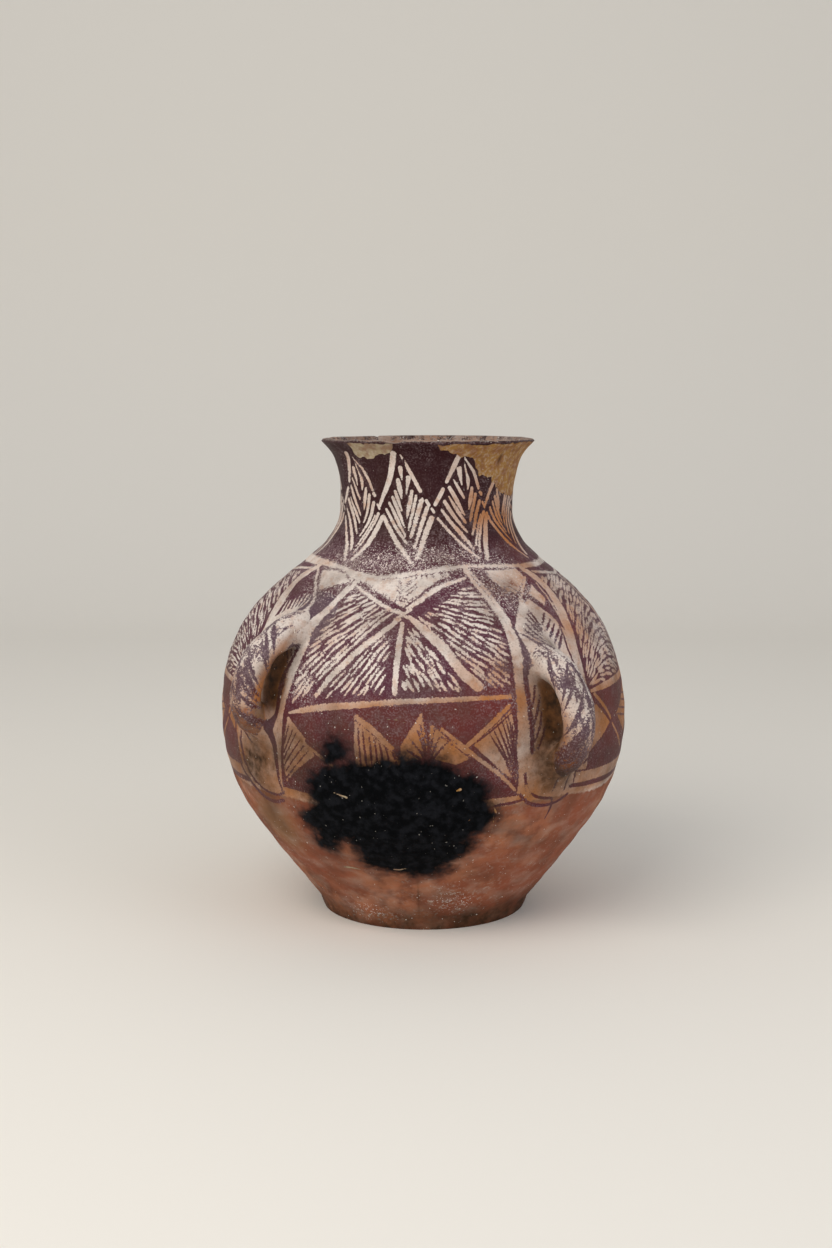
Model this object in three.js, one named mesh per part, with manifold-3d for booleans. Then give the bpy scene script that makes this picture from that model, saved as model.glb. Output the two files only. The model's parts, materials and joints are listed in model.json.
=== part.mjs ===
// A hand-built terracotta storage jar with a flared neck and four loop handles.
// Millimetres, +Z up, the painted front facing -Y, the origin at the middle of the flat underside.
//
// The jar is built the way its potter builds it. A slab is the floor, and a coil laid round it is the foot.
// Flattened coils then raise the wall in stages: lower wall, belly, shoulder and neck. A thin last coil
// makes the lip. Each coil laps the one below on a bevel (a scarf), so every seam slopes inwards and down.
// The handles are bowed rods of clay whose ends are cut to sit on the curved wall, and a collar of soft
// clay is pressed round each end to lute it.
import * as THREE from "three";
import { mergeVertices } from "three/addons/utils/BufferGeometryUtils.js";
import Module from "manifold-3d";

const wasm = await Module();
wasm.setup();

// Heights above the table
const HEIGHT = 400;
const FOOT_HEIGHT = 13;
const TURN_HEIGHT = 76;
const BELLY_HEIGHT = 166;

// Depths below the lip
const NECK_DEPTH = 100;
const WAIST_DEPTH = 56;

// Outer radii
const FOOT_RADIUS = 86.5;
const TURN_RADIUS = 141.4;
const BELLY_RADIUS = 172;
const NECK_WAIST_RADIUS = 72.8;

// How far the lower wall stands out over the foot, and the neck's root and the lip over the waist
const FOOT_OVERHANG = 6;
const NECK_ROOT_SPREAD = 25.5;
const LIP_FLARE = 16.7;

// How far the wall leans out from the vertical there, in degrees
const LOWER_WALL_LEAN = 37;
const NECK_ROOT_LEAN = -49;
const LIP_LEAN = 45;

// How firmly the outline holds its lean on either side of each station, as a share of the stage it runs into
const LOWER_WALL_HOLD = 0.3;
const TURN_HOLD_ABOVE = 0.27;
const BELLY_HOLD_BELOW = 0.43;
const BELLY_HOLD_ABOVE = 0.61;
const NECK_ROOT_HOLD_BELOW = 0.3;
const NECK_ROOT_HOLD_ABOVE = 0.23;
const NECK_WAIST_HOLD_BELOW = 0.55;
const NECK_WAIST_HOLD_ABOVE = 0.69;
const LIP_HOLD = 0.27;

// Wall thicknesses, which the potter thins as the jar goes up
const SLAB_THICKNESS = 12;
const FOOT_WALL = 12;
const TURN_WALL = 10;
const BELLY_WALL = 9;
const NECK_WALL = 8;
const LIP_WALL = 6;

// The foot coil: how far its outside bulges, how far its edges are wiped round, and how far its bevelled
// bed on the slab leans out
const FOOT_BEAD = 3;
const FOOT_ARRIS = 1.5;
const SLAB_BEVEL = 6;

// The lip is trimmed level: the depth of its outer edge and the rounding of its two corners
const LIP_EDGE = 2;
const LIP_ROUND = 3;

// Seams: how far a scarf runs up the outside and down the inside, and the hairline left between pieces
const SCARF = 5;
const SEAM_GAP = 0.3;

// How far the mouth sits off the jar's axis, towards +X
const MOUTH_OFFSET = 3;

// Coils in each stage of the wall, from the bottom up, and the length of the last one
const LOWER_WALL_COILS = 2;
const BELLY_COILS = 2;
const SHOULDER_COILS = 3;
const NECK_COILS = 2;
const RIM_COIL_LENGTH = 18;

// Handles: the rod's width round the jar and its depth outwards, and how its bow pulls out of the wall
const ROD_WIDTH = 26;
const ROD_DEPTH = 22;
const ROOT_SWELL = 1.18;
const ROOT_DEPTH = 16;
const UPPER_PULL = 75;
const LOWER_PULL = 60;
const UPPER_RISE = 6;

// Where each handle was set, by eye: degrees round from the front, + towards +X, and how far up the
// shoulder each end is, as a share of the rise from the belly's widest line to the neck's root
const HANDLES = [
  { name: "front_left", upperTurn: -41, upperShare: 0.68, lowerTurn: -49, lowerShare: 0.075 },
  { name: "front_right", upperTurn: 35, upperShare: 0.51, lowerTurn: 38, lowerShare: -0.12 },
  { name: "rear_right", upperTurn: 129, upperShare: 0.6, lowerTurn: 132, lowerShare: -0.015 },
  { name: "rear_left", upperTurn: -138, upperShare: 0.55, lowerTurn: -140, lowerShare: -0.06 },
];

// Luting collars: how far each reaches out from the wall, how wide it spreads there, and how thick its
// feathered edge is
const COLLAR_LENGTH = 14;
const COLLAR_SPREAD = 8;
const COLLAR_EDGE = 1.2;

// Facets: the jar's turns, the rod's sides, the longest step up the wall, and the steps along a rod
const TURNS = 44;
const ROD_SIDES = 12;
const COIL_STEP = 20;
const ROD_STEP = 10;
const ROOT_STEP = 5;

const radians = THREE.MathUtils.degToRad;

// Finishes

const terracotta = new THREE.MeshStandardMaterial({ color: 0xa5694a, roughness: 0.78, metalness: 0 });
const paintedSlip = new THREE.MeshStandardMaterial({ color: 0x6d3f3f, roughness: 0.62, metalness: 0 });
const wornSlip = new THREE.MeshStandardMaterial({ color: 0xb89a80, roughness: 0.7, metalness: 0 });

// The outside of the wall

// One station of the outline: a radius, a height, the lean of the wall, and how far the curve holds it
function station(radius, height, lean, below, above) {
  const along = new THREE.Vector2(Math.sin(radians(lean)), Math.cos(radians(lean)));
  const at = new THREE.Vector2(radius, height);
  return {
    at,
    before: at.clone().addScaledVector(along, -below),
    after: at.clone().addScaledVector(along, above),
  };
}

const neckRootHeight = HEIGHT - NECK_DEPTH;
const waistHeight = HEIGHT - WAIST_DEPTH;
const lipHeight = HEIGHT - LIP_EDGE;

const lowerStage = TURN_HEIGHT - FOOT_HEIGHT;
const bellyStage = BELLY_HEIGHT - TURN_HEIGHT;
const shoulderStage = neckRootHeight - BELLY_HEIGHT;
const neckStage = waistHeight - neckRootHeight;
const flareStage = lipHeight - waistHeight;

const lowerWallRadius = FOOT_RADIUS + FOOT_OVERHANG;
const lowerHold = LOWER_WALL_HOLD * lowerStage;

const stations = [
  station(lowerWallRadius, FOOT_HEIGHT, LOWER_WALL_LEAN, 0, lowerHold),
  station(TURN_RADIUS, TURN_HEIGHT, LOWER_WALL_LEAN, lowerHold, TURN_HOLD_ABOVE * bellyStage),
  station(BELLY_RADIUS, BELLY_HEIGHT, 0, BELLY_HOLD_BELOW * bellyStage, BELLY_HOLD_ABOVE * shoulderStage),
  station(
    NECK_WAIST_RADIUS + NECK_ROOT_SPREAD,
    neckRootHeight,
    NECK_ROOT_LEAN,
    NECK_ROOT_HOLD_BELOW * shoulderStage,
    NECK_ROOT_HOLD_ABOVE * neckStage,
  ),
  station(
    NECK_WAIST_RADIUS,
    waistHeight,
    0,
    NECK_WAIST_HOLD_BELOW * neckStage,
    NECK_WAIST_HOLD_ABOVE * flareStage,
  ),
  station(NECK_WAIST_RADIUS + LIP_FLARE, lipHeight, LIP_LEAN, LIP_HOLD * flareStage, 0),
];

const outline = new THREE.CurvePath();
for (let i = 1; i < stations.length; i += 1) {
  const [low, high] = [stations[i - 1], stations[i]];
  outline.add(new THREE.CubicBezierCurve(low.at, low.after, high.before, high.at));
}
const stageEnds = outline.getCurveLengths();
const wallLength = outline.getLength();

// The wall's thickness at each station, between which it changes steadily
const thicknesses = [FOOT_WALL, TURN_WALL, BELLY_WALL, NECK_WALL, NECK_WALL, LIP_WALL];

function thicknessAt(length) {
  const stage = stageEnds.findIndex((end) => length <= end);
  const start = stage > 0 ? stageEnds[stage - 1] : 0;
  const share = (length - start) / (stageEnds[stage] - start);
  return THREE.MathUtils.lerp(thicknesses[stage], thicknesses[stage + 1], share);
}

// A point `length` up the outside of the wall from the foot, and `depth` in from the surface
function wallPoint(length, depth = 0) {
  const share = THREE.MathUtils.clamp(length / wallLength, 0, 1);
  const at = outline.getPoint(share);
  const along = outline.getTangent(share);
  return new THREE.Vector2(at.x - along.y * depth, at.y + along.x * depth);
}

const innerPoint = (length) => wallPoint(length, thicknessAt(length));

// How far up the outside of the wall a height lies, found by halving
function lengthAtHeight(height) {
  let [low, high] = [0, wallLength];
  while (high - low > 1e-3) {
    const middle = (low + high) / 2;
    if (wallPoint(middle).y < height) low = middle;
    else high = middle;
  }
  return low;
}

// Points from one length to another, both ends included, none further apart than COIL_STEP
function stepsBetween(from, to, pointAt) {
  const count = Math.max(1, Math.ceil(Math.abs(to - from) / COIL_STEP));
  return Array.from({ length: count + 1 }, (_, i) => pointAt(from + ((to - from) * i) / count));
}

// The coils

const rimStart = wallLength - RIM_COIL_LENGTH;
const stages = [
  { name: "lower_wall_coil", top: stageEnds[0], count: LOWER_WALL_COILS, material: terracotta },
  { name: "belly_coil", top: stageEnds[1], count: BELLY_COILS, material: paintedSlip },
  { name: "shoulder_coil", top: stageEnds[2], count: SHOULDER_COILS, material: paintedSlip },
  { name: "neck_coil", top: rimStart, count: NECK_COILS, material: paintedSlip },
];

const coils = [];
for (const { name, top, count, material } of stages) {
  const bottom = coils.length ? coils[coils.length - 1].to : 0;
  const length = (top - bottom) / count;
  for (let i = 0; i < count; i += 1) {
    const from = bottom + i * length;
    coils.push({ name: `${name}_${i + 1}`, from, to: from + length, material });
  }
}

// How far a seam's upper side stands off its lower side, measured up the wall, to leave the hairline
function seamStep(length) {
  const thickness = thicknessAt(length);
  return (SEAM_GAP * Math.hypot(2 * SCARF, thickness)) / thickness;
}

// The outside of the wall from one length to another, moved out by `growth`
function coilOutside(from, to, growth = 0) {
  const start = from === 0 ? 0 : from + SCARF + seamStep(from);
  return stepsBetween(start, to, (length) => wallPoint(length, -growth));
}

// A coil of the wall between two seams, high outside and low inside. The first stands flat on the foot.
function coilSection({ from, to }) {
  const outside = coilOutside(from, to + SCARF);
  if (from > 0) {
    return [...outside, ...stepsBetween(to - SCARF, from - SCARF + seamStep(from), innerPoint)];
  }
  const slope = Math.tan(radians(LOWER_WALL_LEAN));
  const bedInside = lowerWallRadius - FOOT_WALL * Math.hypot(1, slope);
  return [...outside, innerPoint(to - SCARF), new THREE.Vector2(bedInside, FOOT_HEIGHT)];
}

// The last coil ends in a lip trimmed level, with both its corners wiped round
function rimSection() {
  const innerEnd = wallLength - LIP_WALL - LIP_EDGE;
  const [outerEdge, innerEdge] = [wallPoint(wallLength), innerPoint(innerEnd)];
  const corner = (low, level) =>
    new THREE.QuadraticBezierCurve(low, new THREE.Vector2(low.x, HEIGHT), new THREE.Vector2(level, HEIGHT));
  const outerCorner = corner(outerEdge, outerEdge.x - LIP_ROUND).getPoints(3);
  const innerCorner = corner(innerEdge, innerEdge.x + LIP_ROUND).getPoints(3).reverse();
  const inside = stepsBetween(innerEnd, rimStart - SCARF + seamStep(rimStart), innerPoint);
  return [...coilOutside(rimStart, wallLength), ...outerCorner.slice(1), ...innerCorner, ...inside.slice(1)];
}

// The floor and the foot

const slabEdge = FOOT_RADIUS - FOOT_WALL - FOOT_BEAD;

function slabSection() {
  return [
    new THREE.Vector2(0, 0),
    new THREE.Vector2(slabEdge, 0),
    new THREE.Vector2(slabEdge + SLAB_BEVEL, SLAB_THICKNESS),
    new THREE.Vector2(0, SLAB_THICKNESS),
  ];
}

// The foot coil hugs the slab's bevelled edge and bulges outside into a low bead
function footSection() {
  const bevelGap = (SEAM_GAP * Math.hypot(SLAB_BEVEL, SLAB_THICKNESS)) / SLAB_THICKNESS;
  const bevelAt = (height) => slabEdge + bevelGap + (SLAB_BEVEL * height) / SLAB_THICKNESS;
  const bed = FOOT_HEIGHT - SEAM_GAP;
  const bead = new THREE.QuadraticBezierCurve(
    new THREE.Vector2(FOOT_RADIUS, FOOT_ARRIS),
    new THREE.Vector2(FOOT_RADIUS + 1.5 * FOOT_BEAD, bed / 2),
    new THREE.Vector2(FOOT_RADIUS + FOOT_BEAD, bed - FOOT_ARRIS),
  );
  return [
    new THREE.Vector2(bevelAt(0), 0),
    new THREE.Vector2(FOOT_RADIUS - FOOT_ARRIS, 0),
    ...bead.getPoints(3),
    new THREE.Vector2(lowerWallRadius - SEAM_GAP, bed),
    new THREE.Vector2(bevelAt(bed), bed),
  ];
}

// Turns a closed section, drawn as radius and height, round the jar's axis
function revolve(section) {
  return new THREE.LatheGeometry([...section, section[0]], TURNS).rotateX(Math.PI / 2);
}

// Solids for cutting

function toSolid(geometry) {
  const bare = geometry.clone().deleteAttribute("normal").deleteAttribute("uv");
  const merged = mergeVertices(bare, 1e-3);
  return new wasm.Manifold(
    new wasm.Mesh({
      numProp: 3,
      vertProperties: merged.attributes.position.array,
      triVerts: new Uint32Array(merged.index.array),
    }),
  );
}

function toGeometry(solid) {
  const { vertProperties, triVerts } = solid.getMesh();
  const geometry = new THREE.BufferGeometry();
  geometry.setAttribute("position", new THREE.BufferAttribute(vertProperties, 3));
  geometry.setIndex(new THREE.BufferAttribute(triVerts, 1));
  return geometry.toNonIndexed();
}

// The jar's outside as one solid up to the rim coil, grown by a distance
function grownWall(growth) {
  const outside = coils.flatMap(({ from, to }) => coilOutside(from, to + SCARF, growth));
  const top = outside[outside.length - 1];
  const axis = [new THREE.Vector2(0, top.y), new THREE.Vector2(0, outside[0].y)];
  return toSolid(revolve([...outside, ...axis]));
}

// What cuts every root to its seat on the wall, and how far out the luting reaches
const seat = grownWall(SEAM_GAP);
const lutingReach = grownWall(COLLAR_LENGTH);

// The handles and their luting collars

// The direction out of the jar at an angle round from the front, and the one round the jar there
const outwardAt = (turn) => new THREE.Vector3(Math.sin(radians(turn)), -Math.cos(radians(turn)), 0);
const roundAt = (turn) => new THREE.Vector3(Math.cos(radians(turn)), Math.sin(radians(turn)), 0);

// The rod's centre line: it leaves the wall a little upwards, bows out and comes back in at the belly
function handlePath({ upperTurn, upperShare, lowerTurn, lowerShare }) {
  const end = (turn, share) => {
    const height = BELLY_HEIGHT + share * shoulderStage;
    const radius = wallPoint(lengthAtHeight(height)).x - ROOT_DEPTH;
    return outwardAt(turn).multiplyScalar(radius).setZ(height);
  };
  const upper = end(upperTurn, upperShare);
  const lower = end(lowerTurn, lowerShare);
  const upperBow = outwardAt(upperTurn).multiplyScalar(UPPER_PULL).setZ(UPPER_RISE).add(upper);
  const lowerBow = outwardAt(lowerTurn).multiplyScalar(LOWER_PULL).add(lower);
  return new THREE.CubicBezierCurve3(upper, upperBow, lowerBow, lower);
}

// Where the rod's sections stand, as shares of its length: close together at the roots, wider between
function rodShares(path) {
  const total = path.getLength();
  const rootLength = 2 * ROOT_DEPTH + COLLAR_LENGTH;
  const rootSteps = Math.round(rootLength / ROOT_STEP);
  const bowLength = total - 2 * rootLength;
  const bowSteps = Math.max(1, Math.round(bowLength / ROD_STEP));
  const root = Array.from({ length: rootSteps + 1 }, (_, i) => (i * rootLength) / rootSteps);
  const bow = Array.from({ length: bowSteps - 1 }, (_, i) => rootLength + ((i + 1) * bowLength) / bowSteps);
  const places = [...root, ...bow, ...root.map((place) => total - place).reverse()];
  return { all: places.map((place) => place / total), atRoot: root.length };
}

// One elliptical section of the rod, pushed out at each point by what `growth` gives for it
function rodSection(path, across, share, growth) {
  const along = path.getTangentAt(share);
  const outward = new THREE.Vector3().crossVectors(along, across).normalize();
  const sideways = new THREE.Vector3().crossVectors(outward, along).normalize();
  const swell = 1 + (ROOT_SWELL - 1) * Math.abs(2 * share - 1) ** 3;
  return Array.from({ length: ROD_SIDES }, (_, side) => {
    const angle = (2 * Math.PI * side) / ROD_SIDES;
    const spoke = new THREE.Vector3()
      .addScaledVector(sideways, ((swell * ROD_WIDTH) / 2) * Math.cos(angle))
      .addScaledVector(outward, ((swell * ROD_DEPTH) / 2) * Math.sin(angle));
    const surface = path.getPointAt(share).add(spoke);
    return surface.addScaledVector(spoke.normalize(), growth(surface));
  });
}

// A solid lofted through sections of the rod, with flat ends
function loft(path, across, growth, shares) {
  const points = shares.flatMap((share) => rodSection(path, across, share, growth));
  const faces = [];
  const corner = (ring, side) => ring * ROD_SIDES + (side % ROD_SIDES);
  const last = shares.length - 1;
  for (let ring = 0; ring < last; ring += 1) {
    for (let side = 0; side < ROD_SIDES; side += 1) {
      const [a, b] = [corner(ring, side), corner(ring, side + 1)];
      const [c, d] = [corner(ring + 1, side + 1), corner(ring + 1, side)];
      faces.push(a, b, c, a, c, d);
    }
  }
  for (let side = 1; side < ROD_SIDES - 1; side += 1) {
    faces.push(corner(0, 0), corner(0, side + 1), corner(0, side));
    faces.push(corner(last, 0), corner(last, side), corner(last, side + 1));
  }
  const geometry = new THREE.BufferGeometry().setFromPoints(points);
  geometry.setIndex(faces);
  return toSolid(geometry);
}

// How far a point lies outside the wall
function distanceFromWall(point) {
  const length = lengthAtHeight(point.z);
  const along = outline.getTangent(length / wallLength);
  return (Math.hypot(point.x, point.y) - wallPoint(length).x) * along.y;
}

// A collar is a skirt round a root, wide on the wall and feathered out along the rod
function skirtGrowth(point) {
  const nearness = THREE.MathUtils.clamp(1 - distanceFromWall(point) / COLLAR_LENGTH, 0, 1);
  return COLLAR_EDGE + COLLAR_SPREAD * nearness ** 2;
}

// The rod and its two collars
function handleSolids(handle) {
  const path = handlePath(handle);
  const across = roundAt((handle.upperTurn + handle.lowerTurn) / 2);
  const { all, atRoot } = rodShares(path);
  const bore = loft(path, across, () => SEAM_GAP, all);
  const collar = (shares) =>
    loft(path, across, skirtGrowth, shares).intersect(lutingReach).subtract(bore).subtract(seat);
  return {
    rod: loft(path, across, () => 0, all).subtract(seat),
    upperCollar: collar(all.slice(0, atRoot)),
    lowerCollar: collar(all.slice(-atRoot)),
  };
}

// The jar

const jar = new THREE.Group();

// The mouth was pulled a little to one side, so everything above the neck's root shears towards it
function pullMouth(geometry) {
  const place = geometry.attributes.position;
  for (let i = 0; i < place.count; i += 1) {
    const rise = Math.max(0, place.getZ(i) - neckRootHeight);
    place.setX(i, place.getX(i) + (MOUTH_OFFSET * rise) / NECK_DEPTH);
  }
  geometry.computeVertexNormals();
  return geometry;
}

function addPiece(name, geometry, material) {
  const mesh = new THREE.Mesh(pullMouth(geometry), material);
  mesh.name = name;
  jar.add(mesh);
}

addPiece("base_slab", revolve(slabSection()), terracotta);
addPiece("foot_coil", revolve(footSection()), terracotta);
for (const coil of coils) {
  addPiece(coil.name, revolve(coilSection(coil)), coil.material);
}
addPiece("rim_coil", revolve(rimSection()), paintedSlip);

for (const handle of HANDLES) {
  const { rod, upperCollar, lowerCollar } = handleSolids(handle);
  addPiece(`handle_${handle.name}`, toGeometry(rod), wornSlip);
  addPiece(`upper_luting_${handle.name}`, toGeometry(upperCollar), wornSlip);
  addPiece(`lower_luting_${handle.name}`, toGeometry(lowerCollar), wornSlip);
}

export default jar;
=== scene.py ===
"""A hand-built terracotta storage jar, painted over pale slip and fired in the open.

The wall is one surface of revolution that hand work has pulled a little out of true. Every coil, handle and
luting collar of the frame gets its own finished mesh on it. The painted bands, the fire cloud, the spalled
patches and the wear are laid on that surface as fields, mostly signed distances in millimetres, and the
finishes read those fields. Sizes are in millimetres and degrees here; the scene itself is in metres.
"""
import json
import logging
import math
from dataclasses import dataclass, replace
from enum import Enum

import bpy
import numpy as np
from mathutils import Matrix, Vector

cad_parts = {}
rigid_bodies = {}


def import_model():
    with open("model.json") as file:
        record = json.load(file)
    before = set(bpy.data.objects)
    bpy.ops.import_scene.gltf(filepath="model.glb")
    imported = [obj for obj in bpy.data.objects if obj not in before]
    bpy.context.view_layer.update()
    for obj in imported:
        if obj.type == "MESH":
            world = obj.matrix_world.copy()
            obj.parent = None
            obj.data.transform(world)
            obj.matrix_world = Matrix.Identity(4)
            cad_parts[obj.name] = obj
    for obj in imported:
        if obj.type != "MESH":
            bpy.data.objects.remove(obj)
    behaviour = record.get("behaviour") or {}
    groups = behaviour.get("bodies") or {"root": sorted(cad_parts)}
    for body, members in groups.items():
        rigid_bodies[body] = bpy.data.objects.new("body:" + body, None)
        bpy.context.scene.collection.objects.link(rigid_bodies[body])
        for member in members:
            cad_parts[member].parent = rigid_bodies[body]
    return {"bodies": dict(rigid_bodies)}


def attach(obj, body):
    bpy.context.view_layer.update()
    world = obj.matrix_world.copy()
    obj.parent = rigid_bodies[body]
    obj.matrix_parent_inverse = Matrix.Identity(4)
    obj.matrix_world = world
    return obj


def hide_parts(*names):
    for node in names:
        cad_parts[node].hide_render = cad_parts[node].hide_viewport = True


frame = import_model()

log = logging.getLogger("storage_jar")

MM = 0.001
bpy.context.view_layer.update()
BODY = next(iter(frame["bodies"]))

Array = np.ndarray
Point = tuple[float, float]
Dab = tuple[float, float, float]
Spot = tuple[float, float, float, float, float]
Lumps = tuple[float, float, float, int]
Area = tuple[slice, Array, Array]

TINY = 1e-9
FAR = 1e6


def smoothstep(low: float, high: float, value: Array) -> Array:
    """Eases from 0 at low to 1 at high: three times the square less twice the cube of the share of the way.

    Args:
        low: the value that gives 0.
        high: the value that gives 1.
        value: what is eased.

    Returns:
        Shares from 0 to 1.
    """
    share = np.clip((value - low) / (high - low), 0.0, 1.0)
    return share * share * (3.0 - 2.0 * share)


def rough_field(shape: tuple[int, int], down: float, across: float, seed: int) -> Array:
    """Smooth random relief that closes on itself: white noise whose fine waves are damped by a bell curve.

    Args:
        shape: rows and columns.
        down: size of a lump in rows.
        across: size of a lump in columns.
        seed: of the noise.

    Returns:
        An array of that shape with mean 0 and standard deviation 1.
    """
    noise = np.random.default_rng(seed).standard_normal(shape)
    rows = np.fft.fftfreq(shape[0])[:, None] * down
    columns = np.fft.rfftfreq(shape[1])[None, :] * across
    kept = np.exp(-2.0 * (math.pi**2) * 0.25 * (rows**2 + columns**2))
    smooth = np.fft.irfft2(np.fft.rfft2(noise) * kept, s=shape)
    return (smooth - smooth.mean()) / smooth.std()


def rough_sum(shape: tuple[int, int], *parts: Lumps) -> Array:
    """Adds up random reliefs, each given by its strength, a lump's rows and columns, and its seed."""
    return sum(strength * rough_field(shape, down, across, seed) for strength, down, across, seed in parts)


def through(dabs: Array, step: float = 0.25) -> Array:
    """A Catmull-Rom curve through rows of numbers, each span cut into equal shares.

    Args:
        dabs: the rows, such as azimuth, height and width.
        step: share of a span between two rows of the result.

    Returns:
        The rows along the curve, both ends included.
    """
    if len(dabs) < 3:
        shares = np.arange(0.0, 1.0 + step / 2, step)[:, None]
        return dabs[0] + (dabs[-1] - dabs[0]) * shares
    before = np.vstack([2 * dabs[0] - dabs[1], dabs[:-2]])
    after = np.vstack([dabs[2:], 2 * dabs[-1] - dabs[-2]])
    start, end = dabs[:-1], dabs[1:]
    share = np.arange(0.0, 1.0, step)[None, :, None]
    a, b, c, d = (rows[:, None, :] for rows in (before, start, end, after))
    curve = 0.5 * (
        2 * b + (c - a) * share + (2 * a - 5 * b + 4 * c - d) * share**2 + (3 * b - a - 3 * c + d) * share**3
    )
    return np.vstack([curve.reshape(-1, dabs.shape[1]), dabs[-1:]])


# The shape of the wall


@dataclass(frozen=True)
class Station:
    """One station of the outline: where it is, how far the wall leans out, and how long it holds that."""

    radius: float
    height: float
    lean: float
    below: float
    above: float

    def handle(self, length: float) -> Array:
        """The point that far along the wall's lean from the station."""
        lean = math.radians(self.lean)
        return np.array([self.radius + length * math.sin(lean), self.height + length * math.cos(lean)])


@dataclass
class WallOutline:
    """The outside of the wall as Bezier curves through stations, with its thickness, in mm."""

    height: float = 400.0
    foot_height: float = 13.0
    foot_radius: float = 86.5
    foot_swell: float = 1.92
    scarf: float = 5.0
    lip_edge: float = 2.0
    lip_round: float = 3.0
    lip_wall: float = 6.0
    rim_coil_length: float = 18.0
    stations: tuple[Station, ...] = (
        Station(92.5, 13.0, 37.0, 0.0, 18.9),
        Station(141.4, 76.0, 37.0, 18.9, 24.3),
        Station(172.0, 166.0, 0.0, 38.7, 81.7),
        Station(98.3, 300.0, -49.0, 40.2, 10.1),
        Station(72.8, 344.0, 0.0, 24.2, 37.3),
        Station(89.5, 398.0, 45.0, 14.6, 0.0),
    )
    thicknesses: tuple[float, ...] = (12.0, 10.0, 9.0, 8.0, 8.0, 6.0)
    coils: tuple[tuple[str, int], ...] = (
        ("lower_wall_coil", 2),
        ("belly_coil", 2),
        ("shoulder_coil", 3),
        ("neck_coil", 2),
    )
    curve_steps: int = 400

    def __post_init__(self) -> None:
        """Walks the curves in short steps and keeps length, radius, height, normal and thickness at each."""
        points, stage_of = [], []
        share = np.linspace(0.0, 1.0, self.curve_steps)[:, None]
        for stage, (low, high) in enumerate(zip(self.stations, self.stations[1:])):
            a, b = low.handle(0.0), low.handle(low.above)
            c, d = high.handle(-high.below), high.handle(0.0)
            rest = 1.0 - share
            curve = rest**3 * a + 3 * rest**2 * share * b + 3 * rest * share**2 * c + share**3 * d
            points.append(curve if stage == 0 else curve[1:])
            stage_of.append(np.full(len(points[-1]), stage))
        outline = np.vstack(points)
        steps = np.hypot(*np.diff(outline, axis=0).T)
        self.length = np.concatenate([[0.0], np.cumsum(steps)])
        self.radius, self.level = outline.T
        along = np.gradient(outline, self.length, axis=0)
        along /= np.hypot(*along.T)[:, None]
        self.out, self.up = along[:, 1], -along[:, 0]
        stages = np.concatenate(stage_of)
        self.stage_ends = [self.length[stages == stage][-1] for stage in range(len(self.stations) - 1)]
        self.thickness = np.interp(self.length, [0.0, *self.stage_ends], self.thicknesses)
        self.total = float(self.length[-1])

    def at(self, length: Array, depth: Array | float = 0.0) -> tuple[Array, Array]:
        """Finds points in the wall: its outside less the depth along its normal.

        Args:
            length: mm up the wall.
            depth: mm in from its outside.

        Returns:
            Radius and height of each point.
        """
        radius, level, out, up = (
            np.interp(length, self.length, each) for each in (self.radius, self.level, self.out, self.up)
        )
        return radius - depth * out, level - depth * up

    def length_at(self, height: Array | float) -> Array:
        """How far up the wall a height lies."""
        return np.interp(height, self.level, self.length)

    def thickness_at(self, length: Array | float) -> Array:
        """How thick the wall is there."""
        return np.interp(length, self.length, self.thickness)

    def shoulder_height(self, share: float) -> float:
        """The height at that share of the way from the belly to the neck's root."""
        belly, root = self.stations[2].height, self.stations[3].height
        return belly + share * (root - belly)

    def coil_spans(self) -> list[tuple[str, float, float]]:
        """Cuts the wall below the rim coil into its coils.

        Returns:
            Name, lowest and highest length of each coil, from the bottom up.
        """
        spans, bottom = [], 0.0
        tops = [*self.stage_ends[:3], self.total - self.rim_coil_length]
        for (name, count), top in zip(self.coils, tops):
            for index in range(count):
                span = (top - bottom) / count
                spans.append((f"{name}_{index + 1}", bottom + index * span, bottom + (index + 1) * span))
            bottom = top
        return spans


class Layer(Enum):
    """The fields that lie on the wall and on the handles, by the names that the finishes read."""

    PAINT = "paint"
    SLIP = "slip"
    TONE = "tone"
    # Worn places, and one painted highlight on the front's upper left.
    WEAR_AND_HIGHLIGHT = "wear"
    SOOT = "soot"
    FLAKE = "flake"
    GOLD = "gold"
    # Dirt and stains, and painted shade behind and under the handles and inside the jar.
    DIRT_AND_SHADE = "dirt"
    DEEP = "deep"


BARE = {
    Layer.PAINT: -6.0,
    Layer.SLIP: -6.0,
    Layer.TONE: 0.5,
    Layer.WEAR_AND_HIGHLIGHT: 0.25,
    Layer.SOOT: -40.0,
    Layer.FLAKE: -12.0,
    Layer.GOLD: 0.0,
    Layer.DIRT_AND_SHADE: 0.0,
    Layer.DEEP: 0.0,
}

Fields = dict[Layer, Array]


def bare_fields(shape: tuple[int, ...]) -> Fields:
    """The layers of bare clay on a grid of that shape."""
    return {layer: np.full(shape, value) for layer, value in BARE.items()}


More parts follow.
